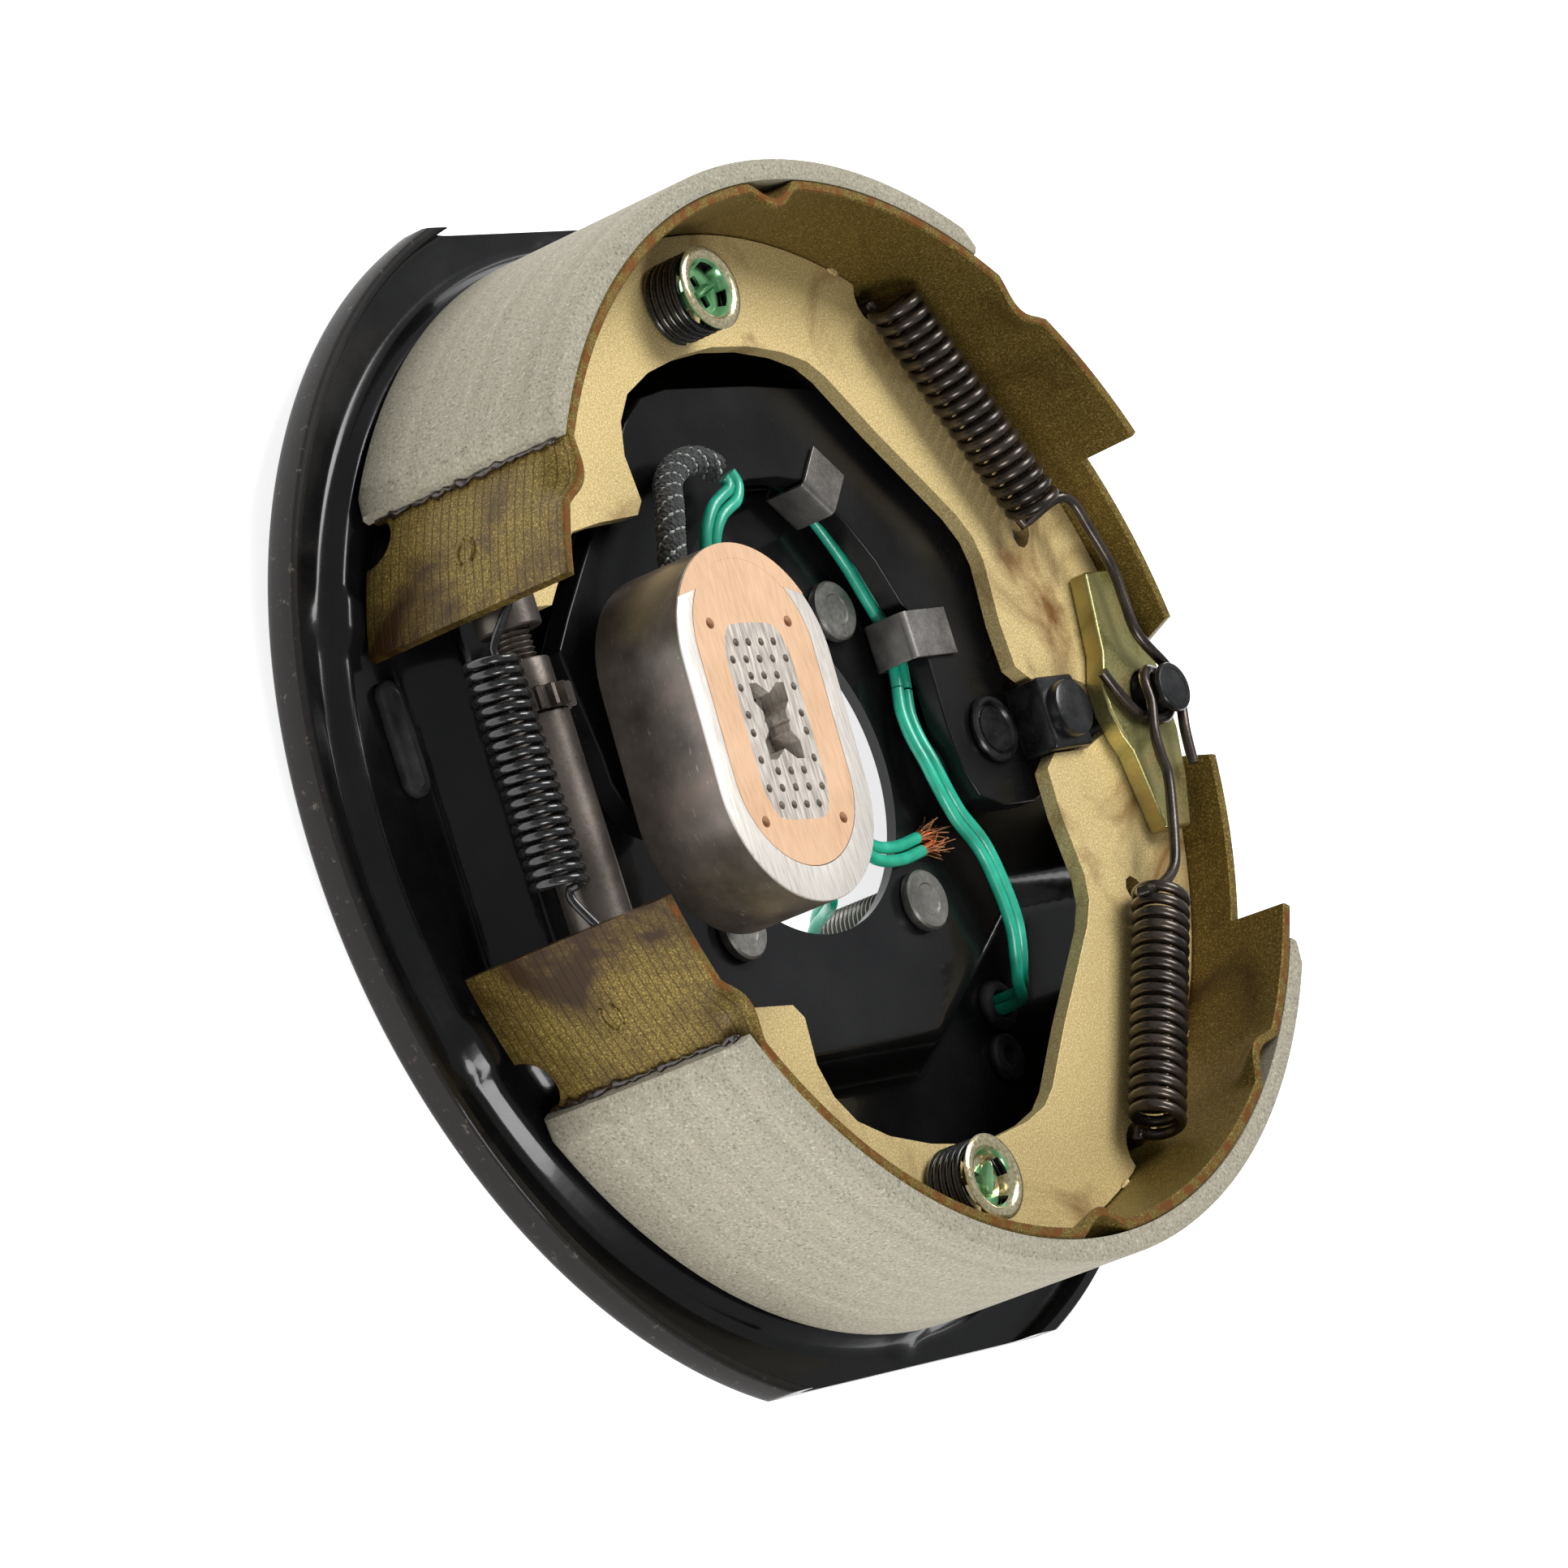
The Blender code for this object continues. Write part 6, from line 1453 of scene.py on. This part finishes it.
def fold_corner(centre, radius, start, end):
    """Points of a fold's curve; angles in degrees."""
    return [polar(radius, start + (end - start) * i / 6, centre) for i in range(7)]


for label, spot, along, reach, leg in (("lower", (-0.0585, 0.0267), 46.7, 0.0012, 0.0080),
                                       ("upper", (-0.0240, 0.0489), 0, 0.0055, 0.0035)):
    top = LEVER_FRONT_Z + GAP + CLIP_SHEET / 2
    low = CLIP_LOW_Z + CLIP_SHEET / 2
    out = reach + CLIP_SHEET / 2
    bend = CLIP_BEND
    line = [(-CLIP_TAB, top), (-0.0060, top), (-0.0020, top)]
    line += fold_corner((out - bend, top - bend), bend, 90, 0)
    line += fold_corner((out - bend, low + bend), bend, 0, -90)
    line += [(-leg / 2, low), (-leg, low)]
    direction = Vector((math.cos(math.radians(along)), math.sin(math.radians(along)), 0))
    inward = Vector((direction.y, -direction.x, 0))
    if inward.dot(Vector((*spot, 0))) > 0:
        inward = -inward
    outline = folded(line, CLIP_SHEET)
    rings = []
    for end in (-0.0055, 0.0055):
        base = Vector((*spot, 0)) + direction * end
        rings.append([base + inward * u + Vector((0, 0, z)) for u, z in outline])
    bm = loft(bmesh.new(), rings)
    finish_piece(f"{label}_folded_clip", bm, tumbled_sheet, "lever", f"{label}_wire_clip", bevel=0.0002,
                 slot="clip_steel")


# SLOT PLUG, GROMMET AND HOLE PLUG
# Soft black rubber mouldings: a lozenge in the adjusting slot, the grommet that the two leads pass
# through, and a cupped plug in a spare hole beside it.

# Moulded rubber: matt black with a fine spark-eroded grain and a grey bloom of dust in clouds.
moulded_rubber = cloudy_and_grained(
    "moulded_black_rubber", (220.0, 5.0), (1800.0, 4.0), [(0.35, "#151516"), (0.8, "#2d2d2d")],
    [(0.3, 0.45), (0.8, 0.7)], (0.2, 0.0002), Specular_IOR_Level=0.4)

PLUG = (-0.020, -0.1107)
PLUG_LENGTH = 0.026
PLUG_WIDTH = 0.008
under = LEDGE_Z - SHEET
levels = raised(under, [
    (-0.0060, -0.0020), (-0.003, -0.0018), (-0.0005, -0.0006), (0.0, -GAP), (-0.003, -GAP)])
levels += raised(LEDGE_Z, [
    (-0.003, GAP), (-0.0002, GAP), (0.0, 0.0006), (0.0, 0.0014), (-0.0004, 0.0020), (-0.0014, 0.0023),
    (-0.0034, 0.0023), (-0.0038, 0.0019), (-0.0060, 0.0018)])
run = (PLUG_LENGTH - PLUG_WIDTH) / 2
rings = [[(x, y, z) for x, y in lozenge((PLUG_WIDTH + grow) / 2, run, 15, PLUG)] for grow, z in levels]
finish_piece("moulded_slot_plug", loft(bmesh.new(), rings), moulded_rubber, "backing",
             "adjusting_slot_plug", slot="black_rubber")

GROMMET = (0.0583, 0.0674)
bore = LEAD_SPACING / 2 + LEAD_RADIUS + 0.0002
lip = 0.006
profile = raised(under, [
    (bore, -0.0020), (lip - 0.0010, -0.0020), (lip - 0.0002, -0.0014), (lip, -0.0006),
    (lip - 0.0001, -GAP), (0.0046, -GAP)])
profile += raised(LEDGE_Z, [
    (0.0046, GAP), (lip - 0.0001, GAP), (lip, 0.0007), (lip - 0.0002, 0.0016), (lip - 0.0009, 0.0024),
    (lip - 0.0018, 0.0026), (bore + 0.0003, 0.0025), (bore, 0.0021)])
rings = [[(*polar(r, 360 * i / 48, GROMMET), z) for i in range(48)] for r, z in profile]
finish_piece("moulded_grommet", loft(bmesh.new(), rings, closed=True), moulded_rubber, "backing",
             "lead_grommet", slot="black_rubber")

profile = raised(under, [
    (0.0, -0.0018), (0.0030, -0.0022), (0.0048, -0.0010), (0.0054, -GAP), (0.0042, -GAP)])
profile += raised(LEDGE_Z, [
    (0.0042, GAP), (0.0055, GAP), (0.0056, 0.0010), (0.0054, 0.0017), (0.0049, 0.0022), (0.0026, 0.0022),
    (0.0022, 0.0020), (0.0020, 0.0009), (0.0, 0.0008)])
finish_piece("moulded_hole_plug", turned(profile, 48, (0.0703, 0.0646)), moulded_rubber, "backing",
             "hole_plug", slot="black_rubber")

low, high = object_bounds()
